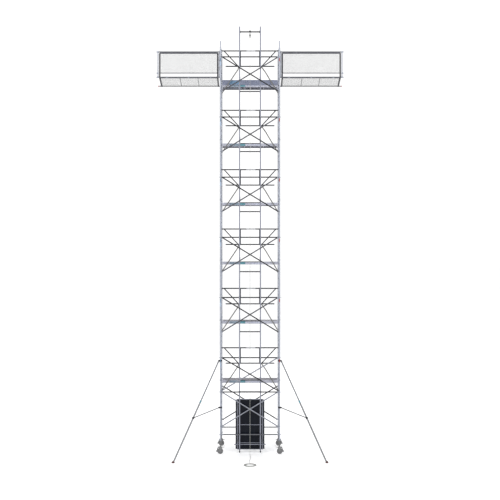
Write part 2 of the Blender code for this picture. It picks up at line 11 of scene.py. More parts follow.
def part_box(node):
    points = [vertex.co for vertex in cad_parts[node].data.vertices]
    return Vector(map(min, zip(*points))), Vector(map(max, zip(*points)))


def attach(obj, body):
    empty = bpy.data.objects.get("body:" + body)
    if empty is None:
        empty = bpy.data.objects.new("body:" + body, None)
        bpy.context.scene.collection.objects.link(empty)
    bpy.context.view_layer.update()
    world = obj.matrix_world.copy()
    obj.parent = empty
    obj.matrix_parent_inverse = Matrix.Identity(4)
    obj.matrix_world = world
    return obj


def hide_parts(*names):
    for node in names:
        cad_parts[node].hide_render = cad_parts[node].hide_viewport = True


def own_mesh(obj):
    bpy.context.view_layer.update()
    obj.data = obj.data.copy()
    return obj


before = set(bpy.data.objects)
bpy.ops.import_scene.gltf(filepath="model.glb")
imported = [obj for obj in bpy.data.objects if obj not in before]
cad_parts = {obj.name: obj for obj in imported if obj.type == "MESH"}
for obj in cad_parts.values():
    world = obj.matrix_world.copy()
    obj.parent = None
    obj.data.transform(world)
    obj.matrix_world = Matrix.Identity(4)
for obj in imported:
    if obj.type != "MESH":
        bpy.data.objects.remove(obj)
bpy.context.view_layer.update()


# Places, read from the frame


def middle(node):
    """The centre of a CAD node's box."""
    low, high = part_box(node)
    return (low + high) / 2


LEVELS = range(1, 7)
SIDES = {"left": -1, "right": 1}
FRONT_Y = middle("base_rail_front").y
REAR_Y = middle("base_rail_rear").y
GUARD_Y = middle("advance_guardrail_1").y
HALF_SPAN = middle("right_end_frames").x
RUNG_PITCH = 2.0 / 7
FIRST_RUNG_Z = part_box("deck_1")[0].z + 0.055 - 6 * RUNG_PITCH
BASE_RAIL_Z = middle("base_rail_front").z
FRAME_FOOT_Z = 0.487
FRAME_HEIGHT = 2.0
STANDARD_R = 0.0254
JOINT_GAP = 0.0012
RUNG_R = 0.0215
BRACE_R = 0.0198
BRACE_END_X = 0.935
GUARD_R = 0.0197
GUARD_DEPTH = 0.52
GUARD_POST_X = 0.324
GUARD_KNEE_HALF = 0.826
GUARD_STRUT_TOP_X = 0.867
GUARD_STRUT_FOOT_X = 0.385
GUARD_KINK = {-1: (0.400, 0.62), 1: (0.520, 0.72)}
DECK_HALF = 0.950
DECK_BEAM = 0.030
DECK_RIBS_X = (-0.86, 0.02, 0.46, -0.18)
OUTRIGGER_TOP_Z = 3.10
OUTRIGGER_REACH = (1.47, -1.36)
COUPLER_REACH = 0.075
TRACK_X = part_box("lift_track")[1].x - 0.024
TRACK_Y = FRONT_Y + 0.058
TRACK_TOP_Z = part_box("lift_track")[1].z
TRACK_HALF = 0.0198
PULLEY = middle("head_pulley")
PULLEY_R = 0.0665
CHEEK_X = 0.024
CROSSBAR_R = 0.0188
HEAD_BEAM_Z = PULLEY.z + 0.135
ROPE_R = 0.006
REAR_FALL_Y = PULLEY.y + PULLEY_R
FRONT_FALL_Y = PULLEY.y - PULLEY_R
CARRIAGE_Y = FRONT_Y + 0.115
CARRIAGE_X = 0.42
PANEL_RIM = 0.012
WING_X = (1.087, 3.04)
WING_BAYS_X = (1.087, 1.757, 2.36, 3.04)
WING_POSTS_X = (1.040, 3.10)
WING_MESH_Z = (12.74, 13.41)
WING_END_X = 3.15
WING_HINGE_Z = 12.60
WING_TOP_RAIL_Z = 13.452
CATCH_START = 0.062


def deck_rung_z(level):
    """The height of the rung that a deck hangs on."""
    return FIRST_RUNG_Z + (7 * level - 1) * RUNG_PITCH


# Mesh building


class Shape:
    """Vertices, faces and a UV pair for each face corner, in metres, gathered from several solids."""

    def __init__(self):
        self.verts = []
        self.faces = []
        self.uvs = []

    def add(self, verts, faces, uvs=None):
        base = len(self.verts)
        self.verts.extend(tuple(v) for v in verts)
        for i, face in enumerate(faces):
            self.faces.append(tuple(base + k for k in face))
            if uvs is None:
                self.uvs.append(flat_uv([Vector(verts[k]) for k in face]))
            else:
                self.uvs.append(uvs[i])
        return self

    def sweep(self, points, section, up=(0, 0, 1), closed=False, wall=0.0, twist=0.0):
        """Carries an outline along a line, with mitred corners. A wall leaves the ends open, as on a tube."""
        pts = np.array([tuple(p) for p in points], float)
        sec = np.array(section, float)
        steps = np.roll(pts, -1, 0) - pts
        steps /= np.maximum(np.linalg.norm(steps, axis=1, keepdims=True), 1e-12)
        before = np.roll(steps, 1, 0)
        after = steps.copy()
        if not closed:
            before[0] = steps[0]
            after[-1] = before[-1]
        tangents = before + after
        tangents /= np.maximum(np.linalg.norm(tangents, axis=1, keepdims=True), 1e-12)
        side = np.cross(np.array(up, float), tangents[0])
        if np.linalg.norm(side) < 1e-3:
            side = np.cross((1.0, 0.0, 0.0), tangents[0])
        side /= np.linalg.norm(side)
        rings = []
        run = 0.0
        lengths = []
        for i, tangent in enumerate(tangents):
            side = side - tangent * side.dot(tangent)
            side /= np.linalg.norm(side)
            over = np.cross(tangent, side)
            run += 0.0 if i == 0 else float(np.linalg.norm(pts[i] - pts[i - 1]))
            lengths.append(run)
            turned = sec @ rotation2(twist * run) if twist else sec
            offsets = turned[:, :1] * side + turned[:, 1:] * over
            bend = after[i] - before[i]
            if np.linalg.norm(bend) > 1e-6:
                bend /= np.linalg.norm(bend)
                stretch = 1.0 / max(float(tangent.dot(before[i])), 0.3)
                offsets = offsets + (stretch - 1.0) * np.outer(offsets @ bend, bend)
            rings.append(pts[i] + offsets)
        count = len(sec)
        around = np.concatenate([[0.0], np.cumsum(np.linalg.norm(np.roll(sec, -1, 0) - sec, axis=1))])
        faces = []
        uvs = []
        last = len(rings) if closed else len(rings) - 1
        for i in range(last):
            j = (i + 1) % len(rings)
            low = lengths[i]
            high = lengths[j] if j else run + float(np.linalg.norm(pts[0] - pts[-1]))
            for k in range(count):
                n = (k + 1) % count
                faces.append((i * count + k, i * count + n, j * count + n, j * count + k))
                uvs.append(((around[k], low), (around[k + 1], low), (around[k + 1], high), (around[k], high)))
        self.add([v for ring in rings for v in ring], faces, uvs)
        if not closed:
            base = len(self.verts) - len(rings) * count
            self.cap(base, count, pts[0], -before[0], wall, True)
            self.cap(base + (len(rings) - 1) * count, count, pts[-1], after[-1], wall, False)
        return self

    def cap(self, start, count, centre, outward, wall, flip):
        """Closes a tube's end, flat or with its wall and a short bore showing."""
        ring = list(range(start, start + count))
        if wall:
            depth = 0.045
            inner = []
            for inward in (0.0, depth):
                shift = np.array(outward) * -inward
                base = len(self.verts)
                for k in ring:
                    from_centre = np.array(self.verts[k]) - centre
                    share = 1 - wall / max(float(np.linalg.norm(from_centre)), 1e-6)
                    self.verts.append(tuple(centre + from_centre * share + shift))
                inner.append(list(range(base, base + count)))
            loops = [ring, *inner]
            for a, b in zip(loops, loops[1:]):
                for k in range(count):
                    n = (k + 1) % count
                    self.faces.append((a[k], a[n], b[n], b[k])[:: -1 if flip else 1])
                    self.uvs.append(flat_uv([Vector(self.verts[q]) for q in self.faces[-1]]))
            ring = inner[-1]
        self.faces.append(tuple(ring[:: 1 if flip else -1]))
        self.uvs.append(flat_uv([Vector(self.verts[q]) for q in self.faces[-1]]))

    def tube(self, points, radius, sides=16, wall=0.0, up=(0, 0, 1)):
        return self.sweep(points, circle(radius, sides), up=up, wall=wall)

    def bar(self, points, width, thick, up=(0, 0, 1), edge=0.0015):
        """A flat bar: width runs across the line and square to up, thick runs along up."""
        return self.sweep(points, rounded_outline(width, thick, edge), up=up)

    def box(self, low, high, edge=0.002, matrix=None):
        bm = bmesh.new()
        bmesh.ops.create_cube(bm, size=1.0)
        size = [b - a for a, b in zip(low, high)]
        bmesh.ops.scale(bm, vec=size, verts=bm.verts)
        if edge:
            width = min(edge, min(size) * 0.3)
            bmesh.ops.bevel(bm, geom=bm.edges[:], offset=width, segments=2, profile=0.5, affect="EDGES")
        bmesh.ops.translate(bm, vec=[(a + b) / 2 for a, b in zip(low, high)], verts=bm.verts)
        if matrix is not None:
            bmesh.ops.transform(bm, matrix=matrix, verts=bm.verts)
        bm.verts.index_update()
        verts = [v.co.copy() for v in bm.verts]
        faces = [tuple(v.index for v in f.verts) for f in bm.faces]
        bm.free()
        return self.add(verts, faces)

    def lathe(self, profile, origin, axis, steps=24, closed=False):
        """Turns (radius, distance along the axis) points about the axis."""
        axis = Vector(axis).normalized()
        u = axis.orthogonal().normalized()
        w = axis.cross(u)
        origin = Vector(origin)
        verts = []
        rings = []
        for radius, along in profile:
            if radius < 1e-6:
                rings.append([len(verts)] * steps)
                verts.append(origin + axis * along)
                continue
            rings.append(list(range(len(verts), len(verts) + steps)))
            for k in range(steps):
                angle = 2 * math.pi * k / steps
                verts.append(origin + axis * along + (u * math.cos(angle) + w * math.sin(angle)) * radius)
        faces = []
        pairs = list(zip(rings, rings[1:]))
        if closed:
            pairs.append((rings[-1], rings[0]))
        for a, b in pairs:
            for k in range(steps):
                n = (k + 1) % steps
                corners = []
                for q in (a[k], a[n], b[n], b[k]):
                    if q not in corners:
                        corners.append(q)
                if len(corners) > 2:
                    faces.append(tuple(corners))
        if not closed:
            for ring, (radius, _) in ((rings[0], profile[0]), (rings[-1], profile[-1])):
                if radius >= 1e-6:
                    faces.append(tuple(ring))
        return self.add(verts, faces)

    def bolt(self, place, axis, radius=0.008, height=0.006):
        """A hexagonal head on a washer."""
        washer = [(0, 0), (radius * 1.35, 0), (radius * 1.35, 0.0015), (0, 0.0015)]
        head = [(0, 0.001), (radius, 0.001), (radius, height * 0.85), (radius * 0.86, height), (0, height)]
        self.lathe(washer, place, axis, 18)
        return self.lathe(head, place, axis, 6)

    def side_box(self, side, xs, ys, zs, edge=0.002):
        """A box whose X places are told for the right side and mirrored for the left one."""
        near, far = sorted(side * x for x in xs)
        return self.box((near, ys[0], zs[0]), (far, ys[1], zs[1]), edge)


def rotation2(angle):
    c, s = math.cos(angle), math.sin(angle)
    return np.array([[c, s], [-s, c]])


def circle(radius, sides):
    return [
        (radius * math.cos(2 * math.pi * k / sides), radius * math.sin(2 * math.pi * k / sides))
        for k in range(sides)
    ]


def rod(radius, half):
    """A lathe profile for a solid pin that reaches equally far both ways."""
    return [(0, -half), (radius, -half), (radius, half), (0, half)]


def sleeve(inner, outer, start, end):
    """A lathe profile for a plain ring."""
    return [(inner, start), (outer, start), (outer, end), (inner, end)]


def facing(place, direction):
    """A matrix that puts X along a direction, at a place."""
    return Matrix.Translation(place) @ direction.to_track_quat("X", "Z").to_matrix().to_4x4()


def ribbed_circle(radius, ribs, depth):
    """A round outline with small ribs along the tube."""
    outline = []
    for k in range(ribs * 2):
        r = radius if k % 2 else radius - depth
        angle = math.pi * k / ribs
        outline.append((r * math.cos(angle), r * math.sin(angle)))
    return outline


def rounded_outline(width, height, edge):
    w, h = width / 2, height / 2
    return [
        (w, -h + edge), (w, h - edge), (w - edge, h), (-w + edge, h),
        (-w, h - edge), (-w, -h + edge), (-w + edge, -h), (w - edge, -h),
    ]


def flat_uv(corners):
    """Corner places seen along the axis that the face looks along most."""
    normal = Vector((0, 0, 0))
    for a, b in zip(corners, corners[1:] + corners[:1]):
        normal += a.cross(b)
    dominant = max(range(3), key=lambda i: abs(normal[i]))
    first, second = [i for i in range(3) if i != dominant]
    return tuple((c[first], c[second]) for c in corners)


def arc(centre, radius, start, end, steps, u=(1, 0, 0), v=(0, 1, 0)):
    """Points of an arc, angles in degrees from direction u towards direction v."""
    centre, u, v = Vector(centre), Vector(u), Vector(v)
    points = []
    for i in range(steps + 1):
        angle = math.radians(start + (end - start) * i / steps)
        points.append(centre + u * (radius * math.cos(angle)) + v * (radius * math.sin(angle)))
    return points


def plate(shape, outline, start, end, axis):
    """A flat plate with the given outline, between two places along an axis (0 for X, 1 for Y)."""
    count = len(outline)
    verts = []
    for along in (start, end):
        verts += [(along, a, b) if axis == 0 else (a, along, b) for a, b in outline]
    walls = [(k, (k + 1) % count, count + (k + 1) % count, count + k) for k in range(count)]
    return shape.add(verts, [tuple(range(count)), tuple(range(count, 2 * count)), *walls])


def piece(name, shape, finish, body, replaces=(), smooth_deg=35):
    """Turns a shape into an object that rides on a body."""
    mesh = bpy.data.meshes.new(name)
    mesh.from_pydata(shape.verts, [], shape.faces)
    layer = mesh.uv_layers.new(name="UVMap")
    flat = [c for face in shape.uvs for corner in face for c in corner]
    layer.data.foreach_set("uv", flat)
    bm = bmesh.new()
    bm.from_mesh(mesh)
    bmesh.ops.recalc_face_normals(bm, faces=bm.faces)
    bm.to_mesh(mesh)
    bm.free()
    mesh.shade_smooth()
    mesh.set_sharp_from_angle(angle=math.radians(smooth_deg))
    mesh.materials.append(finish)
    obj = bpy.data.objects.new(name, mesh)
    bpy.context.scene.collection.objects.link(obj)
    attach(obj, body)
    if replaces:
        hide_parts(*replaces)
    return obj


# Materials


def noise(tree, vector, scale, detail=4.0, roughness=0.6):
    node = tree.nodes.new("ShaderNodeTexNoise")
    node.inputs["Scale"].default_value = scale
    node.inputs["Detail"].default_value = detail
    node.inputs["Roughness"].default_value = roughness
    tree.links.new(vector, node.inputs["Vector"])
    return node.outputs["Fac"]


def mapped(tree, source, scale):
    node = tree.nodes.new("ShaderNodeMapping")
    node.inputs["Scale"].default_value = scale
    tree.links.new(source, node.inputs["Vector"])
    return node.outputs["Vector"]


def ramp(tree, value, stops):
    node = tree.nodes.new("ShaderNodeValToRGB")
    elements = node.color_ramp.elements
    while len(elements) < len(stops):
        elements.new(0.5)
    for element, (place, color) in zip(elements, stops):
        element.position = place
        element.color = (*color, 1.0)
    tree.links.new(value, node.inputs["Fac"])
    return node.outputs["Color"]


def remap(tree, value, low, high):
    node = tree.nodes.new("ShaderNodeMapRange")
    node.inputs["From Min"].default_value = 0.3
    node.inputs["From Max"].default_value = 0.7
    node.inputs["To Min"].default_value = low
    node.inputs["To Max"].default_value = high
    tree.links.new(value, node.inputs["Value"])
    return node.outputs["Result"]


def blend(tree, share, first, second, mode="MIX"):
    node = tree.nodes.new("ShaderNodeMix")
    node.data_type = "RGBA"
    node.blend_type = mode
    if isinstance(share, float):
        node.inputs["Factor"].default_value = share
    else:
        tree.links.new(share, node.inputs["Factor"])
    for value, socket in ((first, node.inputs[6]), (second, node.inputs[7])):
        if isinstance(value, tuple):
            socket.default_value = (*value, 1.0)
        else:
            tree.links.new(value, socket)
    return node.outputs[2]


def add_bump(tree, shader, height, strength, distance):
    node = tree.nodes.new("ShaderNodeBump")
    node.inputs["Strength"].default_value = strength
    node.inputs["Distance"].default_value = distance
    tree.links.new(height, node.inputs["Height"])
    tree.links.new(node.outputs["Normal"], shader.inputs["Normal"])


def new_material(name, metallic=0.0):
    made = bpy.data.materials.new(name)
    made.use_nodes = True
    tree = made.node_tree
    shader = tree.nodes["Principled BSDF"]
    shader.inputs["Metallic"].default_value = metallic
    coords = tree.nodes.new("ShaderNodeTexCoord")
    return made, tree, shader, coords


def tinted(color, factor):
    return tuple(min(1.0, c * factor) for c in color)


def drawn_metal(name, color, roughness=0.42, metallic=0.7, streaks=260.0):
    """Extruded aluminium: fine lines along the tube, cloudy oxide and small handling scratches."""
    made, tree, shader, coords = new_material(name, metallic)
    lines = noise(tree, mapped(tree, coords.outputs["UV"], (streaks, 2.2, 1.0)), 1.0, 3.0)
    cloud = noise(tree, coords.outputs["Object"], 3.1, 5.0, 0.65)
    fine = noise(tree, coords.outputs["Object"], 46.0, 6.0, 0.7)
    base = ramp(tree, cloud, [(0.30, tinted(color, 0.84)), (0.55, color), (0.75, tinted(color, 1.09))])
    streaked = ramp(tree, lines, [(0.3, tinted(color, 0.72)), (0.7, tinted(color, 1.12))])
    base = blend(tree, 0.35, base, streaked)
    marks = ramp(tree, fine, [(0.30, tinted(color, 0.62)), (0.40, (1.0, 1.0, 1.0))])
    base = blend(tree, 0.5, base, marks, "MULTIPLY")
    tree.links.new(base, shader.inputs["Base Color"])
    tree.links.new(remap(tree, fine, roughness - 0.08, roughness + 0.12), shader.inputs["Roughness"])
    add_bump(tree, shader, lines, 0.25, 0.0004)
    return made


def coated_metal(name, color, roughness=0.45, metallic=0.2, chips=(0.45, 0.45, 0.46)):
    """Powder coat with an orange-peel skin and a few chips down to the metal."""
    made, tree, shader, coords = new_material(name, metallic)
    peel = noise(tree, coords.outputs["Object"], 240.0, 2.0)
    cloud = noise(tree, coords.outputs["Object"], 6.0, 4.0)
    worn = noise(tree, coords.outputs["Object"], 33.0, 8.0, 0.75)
    base = ramp(tree, cloud, [(0.3, tinted(color, 0.78)), (0.7, tinted(color, 1.2))])
    mask = ramp(tree, worn, [(0.67, (0.0, 0.0, 0.0)), (0.71, (1.0, 1.0, 1.0))])
    base = blend(tree, mask, base, chips)
    tree.links.new(base, shader.inputs["Base Color"])
    tree.links.new(remap(tree, worn, roughness + 0.08, roughness - 0.06), shader.inputs["Roughness"])
    add_bump(tree, shader, peel, 0.18, 0.0003)
    return made


def moulded(name, color, roughness=0.5, grain=380.0):
    """Moulded plastic or rubber with a fine grain and scuffed, paler patches."""
    made, tree, shader, coords = new_material(name)
    cloud = noise(tree, coords.outputs["Object"], 18.0, 5.0, 0.7)
    skin = noise(tree, coords.outputs["Object"], grain, 2.0)
    base = ramp(tree, cloud, [(0.32, tinted(color, 0.8)), (0.55, color), (0.72, tinted(color, 1.25))])
    tree.links.new(base, shader.inputs["Base Color"])
    tree.links.new(remap(tree, cloud, roughness - 0.07, roughness + 0.12), shader.inputs["Roughness"])
    add_bump(tree, shader, skin, 0.35, 0.0004)
    return made


def phenolic_board(name, color):
    """Film-faced plywood: a dark skin pressed with a wire pattern, scuffed where people walk."""
    made, tree, shader, coords = new_material(name)
    weave = tree.nodes.new("ShaderNodeTexChecker")
    weave.inputs["Scale"].default_value = 260.0
    tree.links.new(coords.outputs["Object"], weave.inputs["Vector"])
    scuff = noise(tree, mapped(tree, coords.outputs["Object"], (2.0, 9.0, 9.0)), 3.0, 8.0, 0.72)
    dust = noise(tree, coords.outputs["Object"], 1.7, 5.0)
    base = ramp(tree, scuff, [(0.35, tinted(color, 0.75)), (0.6, color), (0.74, tinted(color, 1.8))])
    base = blend(tree, 0.25, base, ramp(tree, dust, [(0.4, color), (0.75, (0.36, 0.35, 0.36))]))
    tree.links.new(base, shader.inputs["Base Color"])
    tree.links.new(remap(tree, scuff, 0.5, 0.72), shader.inputs["Roughness"])
    add_bump(tree, shader, weave.outputs["Fac"], 0.5, 0.0006)
    return made


def cell_glass(name):
    """Dark glass over square cells with thin pale joints."""
    made, tree, shader, coords = new_material(name)
    brick = tree.nodes.new("ShaderNodeTexBrick")
    brick.offset = 0.0
    brick.inputs["Scale"].default_value = 1.0
    brick.inputs["Brick Width"].default_value = 0.150
    brick.inputs["Row Height"].default_value = 0.1585
    brick.inputs["Mortar Size"].default_value = 0.0016
    brick.inputs["Color1"].default_value = (0.002, 0.003, 0.007, 1.0)
    brick.inputs["Color2"].default_value = (0.003, 0.005, 0.010, 1.0)
    brick.inputs["Mortar"].default_value = (0.016, 0.018, 0.024, 1.0)
    tree.links.new(coords.outputs["UV"], brick.inputs["Vector"])
    cloud = noise(tree, coords.outputs["Object"], 5.0, 6.0)
    tints = ramp(tree, cloud, [(0.35, (0.002, 0.003, 0.006)), (0.75, (0.006, 0.008, 0.014))])
    base = blend(tree, 0.3, brick.outputs["Color"], tints)
    tree.links.new(base, shader.inputs["Base Color"])
    tree.links.new(remap(tree, cloud, 0.16, 0.30), shader.inputs["Roughness"])
    shader.inputs["Specular IOR Level"].default_value = 0.12
    add_bump(tree, shader, cloud, 0.05, 0.001)
    return made


def fibre_rope(name, color):
    """Laid fibre: strand lines along the rope, and darker patches of grime."""
    made, tree, shader, coords = new_material(name)
    strands = noise(tree, mapped(tree, coords.outputs["UV"], (600.0, 130.0, 1.0)), 1.0, 3.0)
    grime = noise(tree, coords.outputs["Object"], 4.0, 6.0)
    base = ramp(tree, strands, [(0.3, tinted(color, 0.72)), (0.6, color), (0.8, tinted(color, 1.1))])
    base = blend(tree, 0.25, base, ramp(tree, grime, [(0.35, tinted(color, 0.7)), (0.7, color)]))
    tree.links.new(base, shader.inputs["Base Color"])
    tree.links.new(remap(tree, strands, 0.75, 0.95), shader.inputs["Roughness"])
    add_bump(tree, shader, strands, 0.7, 0.0008)
    return made


FRAME_METAL = drawn_metal("frame_aluminium", (0.42, 0.44, 0.50), 0.38, 0.8)
RUNG_METAL = drawn_metal("rung_aluminium", (0.34, 0.36, 0.42))
# Painted shade: the braces are the frames' aluminium, darkened to near black on the front diagonals and rails
# and a little less on the rear and base ones.
BRACE_DARK = drawn_metal("brace_front_painted_shade", (0.020, 0.021, 0.026), 0.6, 0.3)
BRACE_LIGHT = drawn_metal("brace_back_painted_shade", (0.075, 0.077, 0.090), 0.55, 0.4)
BRACE_SILVER = drawn_metal("brace_base_painted_shade", (0.26, 0.27, 0.31), 0.5, 0.5)
# Painted shade: the guardrail's rails are the same aluminium, darkened almost to black.
GUARD_RAIL_PAINTED_SHADE = drawn_metal("guardrail_aluminium", (0.022, 0.024, 0.031), 0.6, 0.3)
GUARD_LIGHT = drawn_metal("guardrail_strut_aluminium", (0.20, 0.197, 0.187), 0.5, 0.5)
TRACK_METAL = drawn_metal("track_aluminium", (0.24, 0.25, 0.30), 0.42, 0.7)
CROSSBAR_METAL = drawn_metal("crossbar_aluminium", (0.030, 0.030, 0.036), 0.6, 0.3)
OUTRIGGER_METAL = drawn_metal("outrigger_aluminium", (0.17, 0.18, 0.195))
STRUT_METAL = drawn_metal("strut_aluminium", (0.15, 0.155, 0.16), 0.5, 0.5)
LEG_METAL = drawn_metal("leg_aluminium", (0.22, 0.225, 0.235))
BEAM_METAL = drawn_metal("deck_beam_aluminium", (0.46, 0.47, 0.54), 0.5, 0.4)
# Painted shade: the base rails are darkened against the light that falls on their front faces.
BASE_RAIL_PAINTED_SHADE = drawn_metal("base_rail_painted_shade", (0.105, 0.108, 0.122), 0.55, 0.4)
ZINC = drawn_metal("zinc_steel", (0.215, 0.217, 0.220), 0.5, 0.6, 90.0)
CAST_METAL = coated_metal("cast_aluminium", (0.30, 0.32, 0.37), 0.5, 0.6)
BLACK_METAL = coated_metal("black_coated_steel", (0.010, 0.010, 0.013), 0.5, 0.1, (0.06, 0.06, 0.07))
WING_DARK = coated_metal("wing_side_steel", (0.032, 0.033, 0.040), 0.5, 0.2)
WING_METAL = coated_metal("wing_coated_steel", (0.095, 0.098, 0.115), 0.5, 0.2)
WIRE_METAL = coated_metal("mesh_wire", (0.26, 0.265, 0.265), 0.5, 0.4)
BOARD = phenolic_board("deck_board", (0.17, 0.165, 0.195))
# Painted light: the board's underside is made paler than its top, against the shade under the deck.
PLY_BACK_PAINTED_LIGHT = moulded("ply_underside_painted_light", (0.33, 0.33, 0.40), 0.7, 120.0)
# Painted shade: the rear beam and the ribs are darker copies of the deck beam aluminium.
REAR_BEAM_PAINTED_SHADE = drawn_metal("deck_rear_beam_painted_shade", (0.27, 0.275, 0.31), 0.55, 0.3)
RIB_PAINTED_SHADE = drawn_metal("deck_ribs_painted_shade", (0.20, 0.20, 0.245), 0.55, 0.3)
TOE_METAL = drawn_metal("toe_board_aluminium", (0.20, 0.22, 0.30), 0.5, 0.4)
TYRE = moulded("grey_tread", (0.155, 0.155, 0.158), 0.75)
RIM = moulded("wheel_rim", (0.21, 0.21, 0.215), 0.55)
BLACK_PLASTIC = moulded("black_plastic", (0.014, 0.014, 0.017), 0.5)
GREY_PLASTIC = moulded("grey_plastic", (0.40, 0.41, 0.43), 0.5)
PALE_STRIP = moulded("pale_band", (0.44, 0.46, 0.56), 0.5)
RED_PLASTIC = moulded("red_clip", (0.36, 0.02, 0.02), 0.42)
BLUE_PLASTIC = moulded("blue_clip", (0.12, 0.24, 0.36), 0.42)
TEAL_PLASTIC = moulded("teal_collar", (0.09, 0.24, 0.29), 0.45)
PALE_BLUE = moulded("pale_blue_sleeve", (0.34, 0.42, 0.54), 0.5)
BAND_BLUE = moulded("toe_band_blue", (0.12, 0.22, 0.34), 0.5)
BAND_GREY = moulded("grey_blue_band", (0.19, 0.25, 0.31), 0.5)
FOOT_RUBBER = moulded("foot_rubber", (0.085, 0.030, 0.028), 0.8)
GLASS = cell_glass("panel_glass")
ROPE = fibre_rope("light_rope", (0.46, 0.465, 0.44))
# Painted shade: the lifting fall is the same pale rope as the hauling rope, coloured near black.
LIFT_ROPE_PAINTED_SHADE = fibre_rope("dark_rope_painted_shade", (0.085, 0.085, 0.085))


# End frames


def weld(shape, centre, axis, radius):
    """A small fillet of weld round a tube where it meets another."""
    profile = [(radius - 0.001, 0.0), (radius + 0.0062, 0.0), (radius + 0.0050, 0.0022),
               (radius + 0.0022, 0.0050), (radius - 0.001, 0.0068)]
    shape.lathe(profile, centre, axis, 16, closed=True)


def standard(shape, x, y, low, high):
    """One upright of a frame, with a hairline gap left at both ends."""
    shape.tube([(x, y, low + JOINT_GAP), (x, y, high - JOINT_GAP)], STANDARD_R, 20)


def ladder(shape, x, first, count):
    """Ribbed rungs between the standards, with welds at both ends."""
    section = ribbed_circle(RUNG_R, 12, 0.0012)
    reach = STANDARD_R * 0.7
    for i in range(count):
        z = FIRST_RUNG_Z + (first + i) * RUNG_PITCH
        shape.sweep([(x, FRONT_Y + reach, z), (x, REAR_Y - reach, z)], section)
        weld(shape, (x, FRONT_Y + STANDARD_R - 0.004, z), (0, 1, 0), RUNG_R)
        weld(shape, (x, REAR_Y - STANDARD_R + 0.004, z), (0, -1, 0), RUNG_R)


def end_frame(side_name, side, index):
    """Two uprights and seven rungs of a 2 m frame, with the joint's collars and bolts."""
    x = side * HALF_SPAN
    low = FRAME_FOOT_Z + FRAME_HEIGHT * index
    high = low + FRAME_HEIGHT
    node = side_name + "_end_frames"
    posts = Shape()
    for y in (FRONT_Y, REAR_Y):
        standard(posts, x, y, low, high)
    name = f"end_frame_{side_name}_{index + 1}"
    piece(name + "_standards", posts, FRAME_METAL, "tower", [node])
    rungs = Shape()
    ladder(rungs, x, index * 7, 7)
    piece(name + "_rungs", rungs, RUNG_METAL, "tower", [node])
    joints = Shape()
    for y in (FRONT_Y, REAR_Y):
        profile = [(STANDARD_R - 0.001, -0.030), (STANDARD_R + 0.0022, -0.028),
                   (STANDARD_R + 0.0022, 0.026), (STANDARD_R - 0.001, 0.030)]
        joints.lathe(profile, (x, y, high - 0.030), (0, 0, 1), 20, closed=True)
        joints.bolt((x + side * (STANDARD_R + 0.001), y, high - 0.045), (side, 0, 0), 0.006, 0.006)
        joints.bolt((x, y - STANDARD_R - 0.001, high - 0.045), (0, -1, 0), 0.005, 0.004)
    piece(name + "_joints", joints, CAST_METAL, "tower", [node])


def guard_frame(side_name, side):
    """The 1 m frame on top, with four rungs and open spigots."""
    x = side * HALF_SPAN
    low = FRAME_FOOT_Z + FRAME_HEIGHT * 6
    top_z = FIRST_RUNG_Z + 45 * RUNG_PITCH
    node = side_name + "_end_frames"
    posts = Shape()
    rungs = Shape()
    spigots = Shape()
    for y in (FRONT_Y, REAR_Y):
        standard(posts, x, y, low, top_z + RUNG_R * 0.9)
        spigots.tube([(x, y, top_z), (x, y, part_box(node)[1].z - 0.001)], 0.0188, 16, wall=0.003)
        spigots.lathe([(0.0188, 0), (0.0225, 0.002), (0.0225, 0.012), (0.0188, 0.014)],
                      (x, y, top_z + RUNG_R), (0, 0, 1), 16, closed=True)
    ladder(rungs, x, 42, 4)
    piece(f"guard_frame_{side_name}_standards", posts, FRAME_METAL, "tower", [node])
    piece(f"guard_frame_{side_name}_rungs", rungs, RUNG_METAL, "tower", [node])
    piece(f"guard_frame_{side_name}_spigots", spigots, FRAME_METAL, "tower", [node])


def frame_clips(side_name, side):
    """The coloured locking clips and sleeves that mark each side."""
    x = side * HALF_SPAN
    clips = Shape()
    sleeves = Shape()
    for level in LEVELS:
        z = deck_rung_z(level) + 3 * RUNG_PITCH
        low, high = z - 0.150, z - 0.045
        y = FRONT_Y - STANDARD_R
        clips.box((x - 0.011, y - 0.016, low), (x + 0.011, y + 0.003, high), 0.003)
        clips.box((x - 0.006, y - 0.024, low + 0.012), (x + 0.006, y - 0.012, low + 0.042), 0.003)
        if side < 0:
            band = sleeve(STANDARD_R + 0.0002, STANDARD_R + 0.0010, -0.30, -0.165)
            sleeves.lathe(band, (x, FRONT_Y, z), (0, 0, 1), 20, closed=True)
    finish = BLUE_PLASTIC if side < 0 else RED_PLASTIC
    piece(f"locking_clips_{side_name}", clips, finish, "tower")
    if side < 0:
        piece("sleeves_left", sleeves, PALE_BLUE, "tower")


def castor_legs(side_name, side):
    """Threaded spindles with their winged collar nuts, under the lowest frame."""
    x = side * HALF_SPAN
    node = side_name + "_end_frames"
    spindles = Shape()
    nuts = Shape()
    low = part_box(node)[0].z
    pitch = 0.008
    core, crest = 0.0165, 0.0188
    turns = int((FRAME_FOOT_Z - low - 0.01) / pitch)
    profile = [(0, 0.0), (core, 0.0)]
    for i in range(turns):
        profile += [(core, i * pitch + 0.001), (crest, i * pitch + 0.004)]
    profile += [(core, turns * pitch), (0, turns * pitch)]
    for y in (FRONT_Y, REAR_Y):
        spindles.lathe(profile, (x, y, low), (0, 0, 1), 20)
        collar = [(0.020, 0), (0.029, 0.002), (0.032, 0.010), (0.032, 0.032), (0.028, 0.040), (0.020, 0.042)]
        nuts.lathe(collar, (x, y, FRAME_FOOT_Z - 0.042), (0, 0, 1), 24, closed=True)
        for turn in (45, 165, 285):
            d = Vector((math.cos(math.radians(turn)), math.sin(math.radians(turn)), 0))
            start = Vector((x, y, FRAME_FOOT_Z - 0.022)) + d * 0.028
            nuts.bar([start, start + d * 0.020], 0.010, 0.026)
    piece(f"castor_spindles_{side_name}", spindles, ZINC, "tower", [node])
    piece(f"castor_leg_nuts_{side_name}", nuts, CAST_METAL, "tower", [node])


